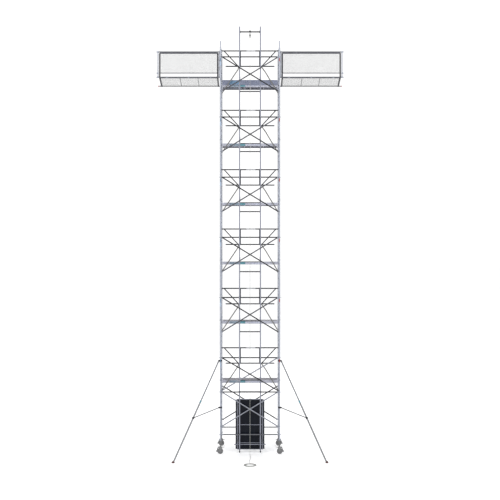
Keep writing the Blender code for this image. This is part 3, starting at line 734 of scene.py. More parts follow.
# Braces, guardrails and their hooks


def claw(shape, x, y, z, inward, tall=0.030):
    """A hook casting that grips a standard from its inner side: socket and jaw."""
    centre = (x, y, z)
    jaw = arc(centre, STANDARD_R + 0.0046, -128, 128, 16, u=(inward, 0, 0), v=(0, 1, 0))
    shape.bar(jaw, 0.0066, tall, up=(0, 0, 1), edge=0.001)
    socket_x = x + inward * (STANDARD_R + 0.006)
    shape.lathe([(0.0, 0), (0.015, 0), (0.0215, 0.006), (0.0215, 0.050), (0.0178, 0.052), (0, 0.052)],
                (socket_x, y, z), (inward, 0, 0), 18)


def horizontal_brace(name, y, z, node, finish=BRACE_DARK):
    """A level tube between the standards, with a hook, a trigger and a nose at each end."""
    reach = HALF_SPAN - STANDARD_R - 0.012
    rail = Shape().tube([(-reach, y, z), (reach, y, z)], BRACE_R, 16)
    piece(name, rail, finish, "tower", [node])
    hooks = Shape()
    triggers = Shape()
    nose = (HALF_SPAN + STANDARD_R + 0.006, HALF_SPAN + STANDARD_R + 0.034)
    for side in (-1, 1):
        claw(hooks, side * HALF_SPAN, y, z, -side)
        x = side * (HALF_SPAN - 0.060)
        triggers.box((x - 0.018, y - 0.0075, z + 0.018), (x + 0.018, y + 0.0075, z + 0.032), 0.003)
        hooks.side_box(side, nose, (y - 0.010, y + 0.010), (z - 0.009, z + 0.009), 0.003)
    piece(name + "_hooks", hooks, CAST_METAL, "tower", [node])
    piece(name + "_triggers", triggers, GREY_PLASTIC, "tower", [node])


def diagonal_brace(name, side, y, high, low, node, finish):
    """A tube from one corner to the other, with flattened ends on swivelling hooks."""
    top = Vector((side * BRACE_END_X, y, high))
    bottom = Vector((-side * BRACE_END_X, y, low))
    along = (bottom - top).normalized()
    tube = Shape().tube([top + along * 0.05, bottom - along * 0.05], BRACE_R, 16)
    for end, toward in ((top, along), (bottom, -along)):
        tube.bar([end - toward * 0.004, end + toward * 0.068], 0.012, 0.034, up=(0, 0, 1), edge=0.003)
    piece(name, tube, finish, "tower", [node])
    ends = Shape()
    for end in (top, bottom):
        ends.bolt((end.x, end.y - 0.006, end.z), (0, -1, 0), 0.008, 0.007)
    piece(name + "_pivots", ends, ZINC, "tower", [node])


def cross_brace(node, y, high, low, with_rail=True, finishes=(BRACE_DARK, BRACE_LIGHT)):
    """Two diagonals, one before the other, with their hooks and, if asked for, a rail on top."""
    if with_rail:
        horizontal_brace(node + "_rail", y, high, node)
    shift = BRACE_R - 0.001
    front = -1 if y < middle("deck_1").y else 1
    diagonal_brace(node + "_diagonal_a", -1, y + front * shift, high, low, node, finishes[0])
    diagonal_brace(node + "_diagonal_b", 1, y - front * shift, high, low, node, finishes[1])
    hooks = Shape()
    for side in (-1, 1):
        claw(hooks, side * HALF_SPAN, y, low, -side, 0.026)
        if not with_rail:
            claw(hooks, side * HALF_SPAN, y, high, -side, 0.026)
    piece(node + "_foot_hooks", hooks, CAST_METAL, "tower", [node])


def rung_hook(shape, side, y, z, width=0.028):
    """A hook that lies over a rung from its inner side."""
    over = arc((side * HALF_SPAN, y, z), RUNG_R + 0.0048, 178, -8, 14, u=(side, 0, 0), v=(0, 0, 1))
    shape.bar(over, width, 0.006, edge=0.001)


def guardrail_side(rails, side, top_z, mid_z):
    """The post and the slanting strut between the two rails."""
    post_x = side * GUARD_POST_X
    strut_top = (side * GUARD_STRUT_TOP_X, GUARD_Y, top_z - 0.008)
    strut_foot = (side * GUARD_STRUT_FOOT_X, GUARD_Y, mid_z - 0.010)
    rails.tube([(post_x, GUARD_Y, top_z), (post_x, GUARD_Y, mid_z)], GUARD_R * 0.98, 14)
    rails.tube([strut_top, strut_foot], GUARD_R * 0.86, 14)


def guardrail_fittings(fittings, side, top_z, mid_z, knee_z):
    """Welds, rung hooks, the knee rail's end cap and the strut's foot casting."""
    y = GUARD_Y
    weld(fittings, (side * GUARD_POST_X, y, top_z - GUARD_R + 0.002), (0, 0, -1), GUARD_R)
    weld(fittings, (side * GUARD_POST_X, y, mid_z + GUARD_R - 0.002), (0, 0, 1), GUARD_R)
    rung_hook(fittings, side, y, top_z)
    rung_hook(fittings, side, y, knee_z)
    outer = GUARD_R + 0.002
    cap = [(0, 0), (outer, 0), (outer, 0.020), (GUARD_R * 0.7, 0.023), (0, 0.023)]
    fittings.lathe(cap, (side * GUARD_KNEE_HALF, y, mid_z), (-side, 0, 0), 16)
    foot_x = side * GUARD_STRUT_FOOT_X
    casting_low = (foot_x - 0.024, y - 0.010, mid_z - 0.040)
    fittings.box(casting_low, (foot_x + 0.024, y + 0.010, mid_z + 0.012), 0.004)


def advance_guardrail(level):
    """Hand rail and knee rail with posts, and bent struts down to the rungs."""
    node = f"advance_guardrail_{level}"
    y = GUARD_Y
    knee_z = deck_rung_z(level) - RUNG_PITCH
    top_z = deck_rung_z(level) + 4 * RUNG_PITCH
    mid_z = top_z - GUARD_DEPTH
    reach = HALF_SPAN - RUNG_R - 0.006
    rails = Shape()
    lower = Shape()
    fittings = Shape()
    rails.tube([(-reach, y, top_z), (reach, y, top_z)], GUARD_R, 16)
    rails.tube([(-GUARD_KNEE_HALF, y, mid_z), (GUARD_KNEE_HALF, y, mid_z)], GUARD_R, 16, wall=0.002)
    for side in (-1, 1):
        guardrail_side(rails, side, top_z, mid_z)
        guardrail_fittings(fittings, side, top_z, mid_z, knee_z)
        kink_x, kink_drop = GUARD_KINK[side]
        path = [
            (side * GUARD_STRUT_FOOT_X, y, mid_z - 0.012),
            (side * kink_x, y, top_z - kink_drop),
            (side * (reach - 0.010), y, knee_z + 0.004),
        ]
        lower.tube(path, GUARD_R * 0.9, 14, up=(0, 1, 0))
    piece(node + "_rails", rails, GUARD_RAIL_PAINTED_SHADE, "tower", [node])
    piece(node + "_struts", lower, GUARD_LIGHT, "tower", [node])
    piece(node + "_fittings", fittings, CAST_METAL, "tower", [node])
    # A pale grey sleeve round the middle of the hand rail.
    band = sleeve(GUARD_R + 0.0002, GUARD_R + 0.0009, 0, 0.30)
    pale_sleeve = Shape().lathe(band, (-0.12, y, top_z), (1, 0, 0), 18, closed=True)
    piece(node + "_sleeve", pale_sleeve, GREY_PLASTIC, "tower", [node])


# Decks


def deck_beam(shape, y, turn, z):
    """A C-shaped beam along the deck, open towards the middle."""
    w = DECK_BEAM
    channel = [(0.0, 0.0), (w, 0.0), (w, 0.010), (0.004, 0.010), (0.004, 0.083), (w, 0.083),
               (w, 0.094), (0.0, 0.094)]
    outline = [(turn * u, v) for u, v in channel][::turn]
    shape.sweep([(-DECK_HALF, y, z + 0.0005), (DECK_HALF, y, z + 0.0005)], outline, up=(0, 0, 1))


def deck_frame(node, low, high):
    """The long beams, the cross ribs between them and the two ends; the rear beam and the ribs wear darker
    copies of the beam aluminium as painted shade.
    """
    rear = Shape()
    deck_beam(rear, high.y, -1, low.z)
    piece(node + "_rear_beam", rear, REAR_BEAM_PAINTED_SHADE, "tower", [node])
    ribs = Shape()
    for x in DECK_RIBS_X:
        rib_low = (x - 0.020, low.y + 0.006, low.z + 0.012)
        ribs.box(rib_low, (x + 0.020, high.y - 0.006, high.z - 0.021), 0.003)
    piece(node + "_ribs", ribs, RIB_PAINTED_SHADE, "tower", [node])
    beams = Shape()
    deck_beam(beams, low.y, 1, low.z)
    for side in (-1, 1):
        beams.side_box(side, (DECK_HALF, DECK_HALF - 0.034), (low.y + 0.003, high.y - 0.003),
                       (low.z + 0.010, high.z - 0.002), 0.003)
    piece(node + "_beams", beams, BEAM_METAL, "tower", [node])


def deck_boards(node, low, high, hole):
    """The board and its underside, painted paler than the top as painted light, round the trapdoor's hole."""
    x0, x1 = -DECK_HALF + 0.036, DECK_HALF - 0.036
    y0, y1 = low.y + DECK_BEAM + 0.001, high.y - DECK_BEAM - 0.001
    hole_x0, hole_y0, hole_x1, hole_y1 = hole
    parts = [(x0, y0, hole_x0, y1), (hole_x1, y0, x1, y1),
             (hole_x0, y0, hole_x1, hole_y0), (hole_x0, hole_y1, hole_x1, y1)]
    top = high.z - 0.003
    under = top - 0.012
    board = Shape()
    for a, b, c, d in parts:
        board.box((a, b, under), (c, d, top), 0.001)
    piece(node + "_board", board, BOARD, "tower", [node])
    skin = Shape()
    for a, b, c, d in parts[:3]:
        skin.box((a, b, under - 0.0035), (c, d, under - 0.0002), 0.0005)
    piece(node + "_board_underside", skin, PLY_BACK_PAINTED_LIGHT, "tower", [node])


def deck_rim(node, low, high, hole):
    """The metal rim of the hole, and the rivets beside it along both beams."""
    t = 0.0035
    x0, y0, x1, y1 = hole
    sides = [(x0 - t, y0 - t, x0, y1 + t), (x1, y0 - t, x1 + t, y1 + t),
             (x0, y0 - t, x1, y0), (x0, y1, x1, y1 + t)]
    rim = Shape()
    for a, b, c, d in sides:
        rim.box((a, b, low.z + 0.020), (c, d, high.z - 0.0015), 0.0008)
    rivet = [(0, 0), (0.0075, 0), (0.0055, 0.0022), (0, 0.0028)]
    clear = 0.02
    for x in np.linspace(-0.88, 0.88, 12):
        if x0 - clear < x < x1 + clear:
            continue
        for y in (low.y + DECK_BEAM + 0.018, high.y - DECK_BEAM - 0.018):
            rim.lathe(rivet, (x, y, high.z - 0.003 - 0.0004), (0, 0, 1), 12)
    piece(node + "_rim_and_rivets", rim, CAST_METAL, "tower", [node])


def deck_hooks(node, low, high, rung_z):
    """A hook over the rung at each corner, with its wind lock."""
    hooks = Shape()
    locks = Shape()
    arm = (DECK_HALF - 0.060, DECK_HALF + 0.002)
    lock = (HALF_SPAN - 0.036, HALF_SPAN - 0.012)
    for side in (-1, 1):
        for y in (low.y + 0.030, high.y - 0.030):
            rung = (side * HALF_SPAN, y, rung_z)
            over = arc(rung, RUNG_R + 0.0050, 185, -4, 14, u=(side, 0, 0), v=(0, 0, 1))
            hooks.bar(over, 0.040, 0.007, edge=0.0015)
            hooks.side_box(side, arm, (y - 0.020, y + 0.020), (low.z + 0.030, high.z - 0.004), 0.003)
            locks.side_box(side, lock, (y + 0.024, y + 0.032), (low.z + 0.004, low.z + 0.066), 0.002)
    piece(node + "_hooks", hooks, CAST_METAL, "tower", [node])
    piece(node + "_wind_locks", locks, GREY_PLASTIC, "tower", [node])


def deck_bands(node, low, high):
    """Plain coloured bands on the front beam, and a dark lip above them."""
    front = low.y - 0.0003
    bands = [
        ("grey", BAND_GREY, "blue_clip", (-0.690, -0.345), 0.0012, (low.z + 0.006, high.z - 0.010)),
        ("blue", TEAL_PLASTIC, "blue_clip", (-0.350, -0.160), 0.0018, (low.z + 0.006, high.z - 0.006)),
        # A pale strip across the middle of the front beam.
        ("pale", PALE_STRIP, "deck_board", (-0.156, 0.340), 0.0018, (low.z + 0.022, low.z + 0.062)),
    ]
    for tone, finish, slot, xs, thick, zs in bands:
        band = Shape().box((xs[0], front - thick, zs[0]), (xs[1], front, zs[1]), 0.0004)
        piece(f"{node}_{tone}_band", band, finish, "tower")
    lip = Shape().box((-0.345, front - 0.006, high.z - 0.014), (0.345, front + 0.004, high.z + 0.010), 0.002)
    piece(node + "_edge_lip", lip, BRACE_DARK, "tower")


def deck(level):
    node = f"deck_{level}"
    low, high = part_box(node)
    lid_low, lid_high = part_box(f"hatch_{level}")
    gap = 0.004
    hole = (lid_low.x - gap, lid_low.y - gap, lid_high.x + gap, lid_high.y + gap)
    deck_frame(node, low, high)
    deck_boards(node, low, high, hole)
    deck_rim(node, low, high, hole)
    deck_hooks(node, low, high, deck_rung_z(level))
    deck_bands(node, low, high)


def hatch_trim(node, low, high):
    """The lid's angle frame, two stiffeners below it and two hinges with pins and rivets."""
    trim = Shape()
    t = 0.0032
    sides = [(low.x, low.y, high.x, low.y + t), (low.x, high.y - t, high.x, high.y),
             (low.x, low.y, low.x + t, high.y), (high.x - t, low.y, high.x, high.y)]
    for a, b, c, d in sides:
        trim.box((a, b, low.z + 0.004), (c, d, high.z - 0.0004), 0.0008)
    for x in (low.x + 0.17, high.x - 0.17):
        trim.box((x - 0.016, low.y + 0.006, low.z), (x + 0.016, high.y - 0.006, low.z + 0.012), 0.002)
    rivet = [(0, 0), (0.005, 0), (0.0035, 0.0018), (0, 0.002)]
    for x in (low.x + 0.10, high.x - 0.10):
        leaf_low = (x - 0.032, high.y - 0.046, high.z - 0.0024)
        trim.box(leaf_low, (x + 0.032, high.y - 0.003, high.z + 0.0006), 0.0008)
        trim.lathe(rod(0.0045, 0.033), (x, high.y - 0.004, high.z - 0.003), (1, 0, 0), 12)
        for dx in (-0.018, 0.018):
            trim.lathe(rivet, (x + dx, high.y - 0.026, high.z + 0.0004), (0, 0, 1), 10)
    piece(node + "_trim", trim, CAST_METAL, node, [node])


def hatch(level):
    """Trapdoor: a board in an angle frame with two hinges, a latch and a hand hole trim."""
    node = f"hatch_{level}"
    low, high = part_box(node)
    inset = 0.003
    board_low = (low.x + inset, low.y + inset, high.z - 0.013)
    board = Shape().box(board_low, (high.x - inset, high.y - inset, high.z - 0.002), 0.001)
    piece(node + "_board", board, BOARD, node, [node])
    hatch_trim(node, low, high)
    x = (low.x + high.x) / 2
    ring = [(0.030, 0.0), (0.037, 0.0), (0.037, 0.0022), (0.030, 0.003)]
    grip = Shape().lathe(ring, (x, low.y + 0.060, high.z - 0.0026), (0, 0, 1), 24, closed=True)
    grip.box((x + 0.07, low.y + 0.010, high.z - 0.0024), (x + 0.12, low.y + 0.034, high.z + 0.0012), 0.001)
    piece(node + "_grip", grip, BLACK_PLASTIC, node, [node])


def toe_board():
    """A channel-shaped plank on edge, with a plain blue band and four clips."""
    low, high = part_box("toe_board")
    board = Shape()
    section = [(0.0, 0.0), (0.025, 0.0), (0.025, 0.012), (0.006, 0.020), (0.006, 0.144), (0.018, 0.152),
               (0.018, 0.1655), (0.0, 0.1655)]
    board.sweep([(low.x, low.y, low.z), (high.x, low.y, low.z)], section)
    piece("toe_board_plank", board, TOE_METAL, "tower", ["toe_board"])
    band = Shape().box((-0.70, low.y - 0.0012, low.z + 0.020), (-0.33, low.y, high.z - 0.030), 0.0004)
    piece("toe_board_band", band, BAND_BLUE, "tower")
    clips = Shape()
    for x in (low.x + 0.05, -0.3, 0.3, high.x - 0.05):
        clip_low = (x - 0.020, low.y + 0.001, high.z - 0.03)
        clips.box(clip_low, (x + 0.020, high.y + 0.001, high.z - 0.002), 0.003)
    piece("toe_board_clips", clips, BLACK_PLASTIC, "tower", ["toe_board"])


# Castors


def castor_fork(corner, side, y, wheel, pivot):
    """The swivel head, two cheeks with their bolts, the axle and the release horn."""
    node = "castor_fork_" + corner
    body = "castor_" + corner
    low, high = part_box(node)
    x = side * HALF_SPAN
    races = [(0, 0), (0.030, 0), (0.0355, 0.004), (0.0355, 0.009), (0.030, 0.012), (0.033, 0.0135),
             (0.033, 0.0195), (0.026, 0.0225), (0, 0.0225)]
    head = Shape().lathe(races, (x, y, high.z - 0.0228), (0, 0, 1), 28)
    piece(node + "_swivel", head, ZINC, body, [node])
    fork = Shape()
    inner = (high.y - low.y) / 2 - 0.005
    thick = 0.0045
    outline = [(-0.052, 0.236), (0.074, 0.236), (0.088, 0.231), (0.088, 0.219), (0.064, 0.206),
               (0.040, 0.165), (0.032, 0.086), (0.020, 0.076), (-0.006, 0.076), (-0.018, 0.086),
               (-0.030, 0.150), (-0.062, 0.208)]
    for turn in (-1, 1):
        face = y + turn * inner
        skin = face + thick * turn
        plate(fork, [(x + side * u, v) for u, v in outline], face, skin, 1)
        fork.bolt((wheel.x, skin, wheel.z), (0, turn, 0), 0.009, 0.0075)
        fork.bolt((pivot.x, skin, pivot.z), (0, turn, 0), 0.005, 0.004)
    fork.box((x - 0.052, y - inner, 0.219), (x + 0.052, y + inner, 0.2355), 0.003)
    fork.lathe(rod(0.0075, inner), wheel, (0, 1, 0), 14)
    horn = [Vector((x - side * u, y, v)) for u, v in ((0.048, 0.216), (0.086, 0.198), (0.126, 0.218))]
    fork.bar(horn, 0.034, 0.009, up=(0, 0, 1), edge=0.002)
    piece(node + "_cheeks", fork, ZINC, body, [node])


def castor_wheel(corner, wheel):
    """A crowned tread on a rim with hub, web and eight spokes."""
    node = "castor_wheel_" + corner
    body = "wheel_" + corner
    w = 0.0225
    profile = [(0.078, -w * 0.9), (0.090, -w)]
    profile += [(0.0985 - 0.0075 * (i / 6) ** 2, w * i / 6 * 0.97) for i in range(-6, 7)]
    profile += [(0.090, w), (0.078, w * 0.9)]
    tyre = Shape().lathe(profile, wheel, (0, 1, 0), 48, closed=True)
    piece(node + "_tyre", tyre, TYRE, body, [node])
    rim = Shape()
    bead = [(0.070, -0.018), (0.0785, -0.0205), (0.0785, 0.0205), (0.070, 0.018)]
    hub = [(0.0095, -0.022), (0.024, -0.022), (0.026, -0.015), (0.026, 0.015), (0.024, 0.022),
           (0.0095, 0.022)]
    web = [(0.022, -0.004), (0.074, -0.003), (0.074, 0.003), (0.022, 0.004)]
    for profile in (bead, hub, web):
        rim.lathe(profile, wheel, (0, 1, 0), 40, closed=True)
    for k in range(8):
        d = Vector((math.cos(k * math.pi / 4), 0, math.sin(k * math.pi / 4)))
        spoke = [wheel + d * 0.022, wheel + d * 0.0735]
        rim.bar(spoke, 0.030, 0.007, up=d.cross(Vector((0, 1, 0))), edge=0.002)
    piece(node + "_rim", rim, RIM, body, [node])


def brake_pedal(corner, side, y, pivot):
    """A bent tread between two flanges, turning on a pin, with three grip bars."""
    node = "brake_pedal_" + corner
    pedal = Shape()
    knee = Vector((side * (HALF_SPAN + 0.120), y, 0.135))
    tip = Vector((side * (HALF_SPAN + 0.150), y, 0.092))
    pedal.lathe(rod(0.0085, 0.027), pivot, (0, 1, 0), 16)
    pedal.bar([pivot, knee, tip], 0.044, 0.0055, up=(0.5 * side, 0, 0.86))
    flange = [(0.066, 0.236), (0.084, 0.232), (0.124, 0.138), (0.152, 0.094), (0.148, 0.082), (0.112, 0.066),
              (0.096, 0.090), (0.094, 0.140), (0.066, 0.212)]
    for turn in (-1, 1):
        outline = [(side * (HALF_SPAN + u), v) for u, v in flange]
        plate(pedal, outline, y + turn * 0.0245, y + turn * 0.0275, 1)
    across = (tip - knee).normalized()
    normal = Vector((0, 1, 0)).cross(across) * (-side)
    for share in (0.25, 0.5, 0.75):
        spot = knee + (tip - knee) * share + normal * 0.003
        grip = [spot + Vector((0, -0.018, 0)), spot + Vector((0, 0.018, 0))]
        pedal.bar(grip, 0.004, 0.003, up=tuple(normal))
    piece(node + "_lever", pedal, ZINC, "brake_" + corner, [node])


def castor(corner, side, y):
    wheel = middle("castor_wheel_" + corner)
    pivot = Vector((side * (HALF_SPAN + 0.075), y, 0.226))
    castor_fork(corner, side, y, wheel, pivot)
    castor_wheel(corner, wheel)
    brake_pedal(corner, side, y, pivot)


# Outriggers


def collar(shape, side, z, outward):
    """A half coupler round the standard with its lug and closing bolt."""
    centre = Vector((side * HALF_SPAN, FRONT_Y, z))
    profile = [(0.0266, -0.026), (0.039, -0.026), (0.0415, -0.020), (0.0415, 0.020), (0.039, 0.026),
               (0.0266, 0.026)]
    shape.lathe(profile, centre, (0, 0, 1), 32, closed=True)
    across = Vector((0, 0, 1)).cross(outward)
    for turn in (-1, 1):
        lug = centre + outward * 0.034 + across * (turn * 0.014)
        shape.bar([lug, lug + outward * 0.058], 0.007, 0.044, edge=0.002)
    shape.bolt(centre + outward * 0.078 + across * 0.018, across, 0.009, 0.009)
    shape.bolt(centre + outward * 0.078 - across * 0.018, -across, 0.009, 0.007)
    back = centre - outward * 0.040
    shape.box((-0.010, -0.016, -0.016), (0.008, 0.016, 0.016), 0.003, facing(back, outward))


def outrigger_tube(side_name, side, start, foot, outward):
    """The upper tube, which the leg slides over, and its coupler."""
    node = "outrigger_tube_" + side_name
    body = "outrigger_" + side_name
    along = (foot - start).normalized()
    overlap_end = (foot - start).length * 0.40 + 0.34
    up = tuple(Vector((0, 0, 1)).cross(along).cross(along).normalized())
    tube = Shape().tube([start + along * 0.012, start + along * overlap_end], 0.0195, 20, up=up, wall=0.002)
    piece(node + "_tube", tube, OUTRIGGER_METAL, body, [node])
    couplers = Shape()
    collar(couplers, side, OUTRIGGER_TOP_Z, outward)
    couplers.box((-0.026, -0.010, -0.022), (0.050, 0.010, 0.022), 0.004, facing(start + along * 0.010, along))
    piece(node + "_coupler", couplers, BLACK_METAL, body, [node])


def outrigger_strut(side_name, side, start, foot, outward):
    """The side strut from the standard to the clamp ring, through which the leg slides."""
    node = "outrigger_strut_" + side_name
    body = "outrigger_" + side_name
    strut_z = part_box(node)[1].z - 0.030
    clamp = start + (foot - start) * 0.57
    inner = Vector((side * HALF_SPAN, FRONT_Y, strut_z)) + outward * COUPLER_REACH
    toward = (clamp - inner).normalized()
    strut = Shape().tube([inner + toward * 0.012, clamp - toward * 0.040], 0.0142, 16)
    piece(node + "_tube", strut, STRUT_METAL, body, [node])
    black = Shape()
    collar(black, side, strut_z, outward)
    ring = [(0.0272, -0.029), (0.034, -0.029), (0.0372, -0.022), (0.0372, 0.022), (0.034, 0.029),
            (0.0272, 0.029)]
    black.lathe(ring, clamp, (foot - start).normalized(), 32, closed=True)
    black.box((-0.050, -0.009, -0.014), (-0.026, 0.009, 0.014), 0.003, facing(clamp, toward))
    across = Vector((0, 0, 1)).cross(toward)
    black.bolt(clamp + across * 0.009 - toward * 0.040, across, 0.008, 0.008)
    piece(node + "_couplers", black, BLACK_METAL, body, [node])


def outrigger_leg(side_name, start, foot):
    """The telescopic leg with its locking collar and pin holes."""
    node = "outrigger_leg_" + side_name
    along = (foot - start).normalized()
    length = (foot - start).length
    top = start + along * (length * 0.40)
    outer = 0.0252
    bore = 0.0216
    bore_depth = 1.30
    end = length * 0.60 - 0.042
    profile = [(bore, 0.0), (outer, 0.0), (outer, end), (0.0, end), (0.0, bore_depth), (bore, bore_depth)]
    leg = Shape().lathe(profile, top, along, 24, closed=True)
    piece(node + "_tube", leg, LEG_METAL, node, [node])
    lock = [(0.0204, -0.004), (0.0250, -0.006), (0.0275, 0.0), (0.0275, 0.075), (0.0253, 0.080),
            (0.0253, 0.001), (0.0204, 0.001)]
    band = Shape().lathe(lock, top, along, 28, closed=True)
    piece(node + "_locking_collar", band, TEAL_PLASTIC, node, [node])
    holes = Shape()
    rim = [(0.0042, 0.0), (0.0068, 0.0), (0.0064, 0.0010), (0.0042, 0.0012)]
    across = Vector((0, 0, 1)).cross(along).normalized()
    for i in range(9):
        place = top + along * (0.16 + 0.15 * i)
        holes.lathe(rim, place + across * (outer - 0.0004), across, 14, closed=True)
    holes.bolt(top + along * 0.045 + across * 0.0268, across, 0.007, 0.012)
    piece(node + "_pin_holes", holes, ZINC, node, [node])


def outrigger_foot(side_name, foot):
    """A round rubber foot with ten ribs."""
    node = "outrigger_leg_" + side_name
    profile = [(0, 0.0004), (0.044, 0.0004), (0.0492, 0.005), (0.0480, 0.016), (0.040, 0.028), (0.033, 0.034),
               (0.031, 0.050), (0.024, 0.058), (0, 0.058)]
    pad = Shape().lathe(profile, (foot.x, foot.y, 0), (0, 0, 1), 32)
    for k in range(10):
        d = Vector((math.cos(k * math.pi / 5), math.sin(k * math.pi / 5), 0))
        upper = Vector((foot.x, foot.y, 0.016)) + d * 0.038
        lower = Vector((foot.x, foot.y, 0.008)) + d * 0.0485
        pad.bar([upper, lower], 0.004, 0.012)
    piece(node + "_foot", pad, FOOT_RUBBER, node, [node])


def outrigger(side_name, side):
    reach = Vector((side * OUTRIGGER_REACH[0], OUTRIGGER_REACH[1], 0))
    outward = reach.normalized()
    start = Vector((side * HALF_SPAN, FRONT_Y, OUTRIGGER_TOP_Z)) + outward * COUPLER_REACH
    foot = Vector((side * HALF_SPAN, FRONT_Y, 0)) + reach
    outrigger_tube(side_name, side, start, foot, outward)
    outrigger_strut(side_name, side, start, foot, outward)
    outrigger_leg(side_name, start, foot)
    outrigger_foot(side_name, foot)


# Wings


def wires(shape, corner, across, down, width, depth, pitch=0.025, radius=0.0024):
    """A welded grid of wires over a rectangle given by its corner and two directions."""
    across, down = Vector(across).normalized(), Vector(down).normalized()
    corner = Vector(corner)
    normal = across.cross(down)
    count = max(2, round(width / pitch))
    for i in range(1, count):
        start = corner + across * (width * i / count) + normal * radius
        shape.sweep([start, start + down * depth], circle(radius, 5), up=tuple(across))
    count = max(2, round(depth / pitch))
    for i in range(1, count):
        start = corner + down * (depth * i / count) - normal * radius * 0.8
        shape.sweep([start, start + across * width], circle(radius, 5), up=tuple(down))


def wing_frame(guard, side):
    """Uprights, rails round the mesh, hinge rail, top rail and the two support posts."""
    y = GUARD_Y
    mesh_low, mesh_high = WING_MESH_Z
    near_x, far_x = WING_X
    near = side * (HALF_SPAN + RUNG_R + 0.008)
    end = side * WING_END_X
    uprights = Shape()
    for x in WING_X:
        uprights.tube([(side * x, y, WING_HINGE_Z + 0.018), (side * x, y, mesh_high)], 0.0245, 20)
    piece(guard + "_uprights", uprights, WING_DARK, "tower", [guard])
    rails = Shape()
    rails.tube([(side * near_x, y, mesh_high), (side * far_x, y, mesh_high)], 0.0198, 18)
    rails.tube([(side * near_x, y, mesh_low), (side * far_x, y, mesh_low)], 0.0138, 14)
    for z in (WING_HINGE_Z, WING_TOP_RAIL_Z):
        rails.tube([(near, y, z), (end, y, z)], 0.0205, 18, wall=0.003)
    piece(guard + "_frame", rails, WING_METAL, "tower", [guard])
    support = Shape()
    for x in WING_POSTS_X:
        ends = [(side * x, y, WING_HINGE_Z - 0.018), (side * x, y, WING_TOP_RAIL_Z + 0.018)]
        support.tube(ends, 0.0185, 18, wall=0.003)
    piece(guard + "_support_posts", support, FRAME_METAL, "tower", [guard])


def nearest_rung_z(z):
    """The height of the rung that lies closest to a height."""
    return min((FIRST_RUNG_Z + i * RUNG_PITCH for i in range(46)), key=lambda v: abs(v - z))


def wing_fittings(guard, side):
    """Corner castings with end caps on the far post, and hooks over the nearest rungs."""
    y = GUARD_Y
    post_x = side * WING_POSTS_X[1]
    half = 0.024
    cap = [(0, 0), (0.018, 0), (0.021, 0.006), (0.021, 0.030), (0.016, 0.036), (0, 0.036)]
    fittings = Shape()
    for z in (WING_TOP_RAIL_Z, WING_MESH_Z[0], WING_HINGE_Z):
        fittings.box((post_x - half, y - half, z - half), (post_x + half, y + half, z + half), 0.006)
        fittings.lathe(cap, (side * (WING_POSTS_X[1] + 0.013), y, z), (side, 0, 0), 18)
    arm = (HALF_SPAN + RUNG_R + 0.004, HALF_SPAN + RUNG_R + 0.030)
    for z in (WING_TOP_RAIL_Z, WING_HINGE_Z):
        hook_z = nearest_rung_z(z)
        rung_hook(fittings, side, y, hook_z, 0.034)
        lower, upper = sorted((z, hook_z))
        fittings.side_box(side, arm, (y - 0.016, y + 0.016), (lower - 0.012, upper + 0.012), 0.004)
    piece(guard + "_fittings", fittings, CAST_METAL, "tower", [guard])


def wing(side_name, side):
    guard = "wing_guard_" + side_name
    mesh_low, mesh_high = WING_MESH_Z
    near_x, far_x = WING_X
    wing_frame(guard, side)
    wing_fittings(guard, side)
    net = Shape()
    x0 = min(side * near_x, side * far_x)
    wires(net, (x0, GUARD_Y, mesh_low), (1, 0, 0), (0, 0, 1), far_x - near_x, mesh_high - mesh_low)
    piece(guard + "_mesh", net, WIRE_METAL, "tower", [guard], 60)
    catch_panel(side_name, side)


def catch_panel(side_name, side):
    """Three sloping mesh bays between the hinge rail and the far rail."""
    catch = "catch_panel_" + side_name
    hinge = Vector((0, GUARD_Y, WING_HINGE_Z))
    far = Vector((0, FRONT_Y + 1.20, 12.43))
    along = (far - hinge).normalized()
    start = hinge + along * CATCH_START
    depth = (far - hinge).length - CATCH_START
    catch_frame(catch, side, start, far, along, depth)
    lattice = Shape()
    for x0, x1 in zip(WING_BAYS_X, WING_BAYS_X[1:]):
        corner = start + Vector((side * x0, 0, 0))
        wires(lattice, corner, (side, 0, 0), along, x1 - x0, depth, radius=0.0018)
    piece(catch + "_mesh", lattice, WIRE_METAL, catch, [catch], 60)
    catch_hinges(catch, side, hinge, along)


def catch_frame(catch, side, start, far, along, depth):
    """Side beams, bay dividers, the bar by the hinges and the far rail with its cap."""
    beams = Shape()
    dividers = Shape()
    for x in WING_BAYS_X:
        spot = start + Vector((side * x, 0, 0))
        if x in WING_X:
            beams.bar([spot, spot + along * (depth + 0.012)], 0.052, 0.044, edge=0.004)
        else:
            dividers.bar([spot, spot + along * depth], 0.016, 0.018, edge=0.002)
    beams.tube([start + Vector((side * x, 0, 0)) for x in WING_X], 0.0085, 12)
    far_a = far + Vector((side * 1.03, 0, 0))
    far_b = far + Vector((side * WING_END_X, 0, 0))
    beams.tube([far_a, far_b], 0.0158, 16, wall=0.002)
    piece(catch + "_beams", beams, WING_DARK, catch, [catch])
    piece(catch + "_dividers", dividers, WING_DARK, catch, [catch])
    cap = [(0, 0), (0.019, 0), (0.019, 0.024), (0.0165, 0.030), (0, 0.030)]
    caps = Shape().lathe(cap, far_b - Vector((side * 0.012, 0, 0)), (side, 0, 0), 18)
    piece(catch + "_end_cap", caps, RED_PLASTIC, catch, [catch])


def catch_hinges(catch, side, hinge, along):
    """Three rings round the hinge rail, each with a leaf towards the panel."""
    near_x, far_x = WING_X
    hinges = Shape()
    ring = sleeve(0.0215, 0.0262, -0.018, 0.018)
    for share in (0.12, 0.5, 0.88):
        x = side * (near_x + (far_x - near_x) * share)
        hinges.lathe(ring, (x, GUARD_Y, WING_HINGE_Z), (1, 0, 0), 24, closed=True)
        spot = hinge + Vector((x, 0, 0))
        hinges.bar([spot + along * 0.024, spot + along * 0.058], 0.034, 0.010, edge=0.002)
    piece(catch + "_hinges", hinges, CAST_METAL, catch, [catch])


# Lift


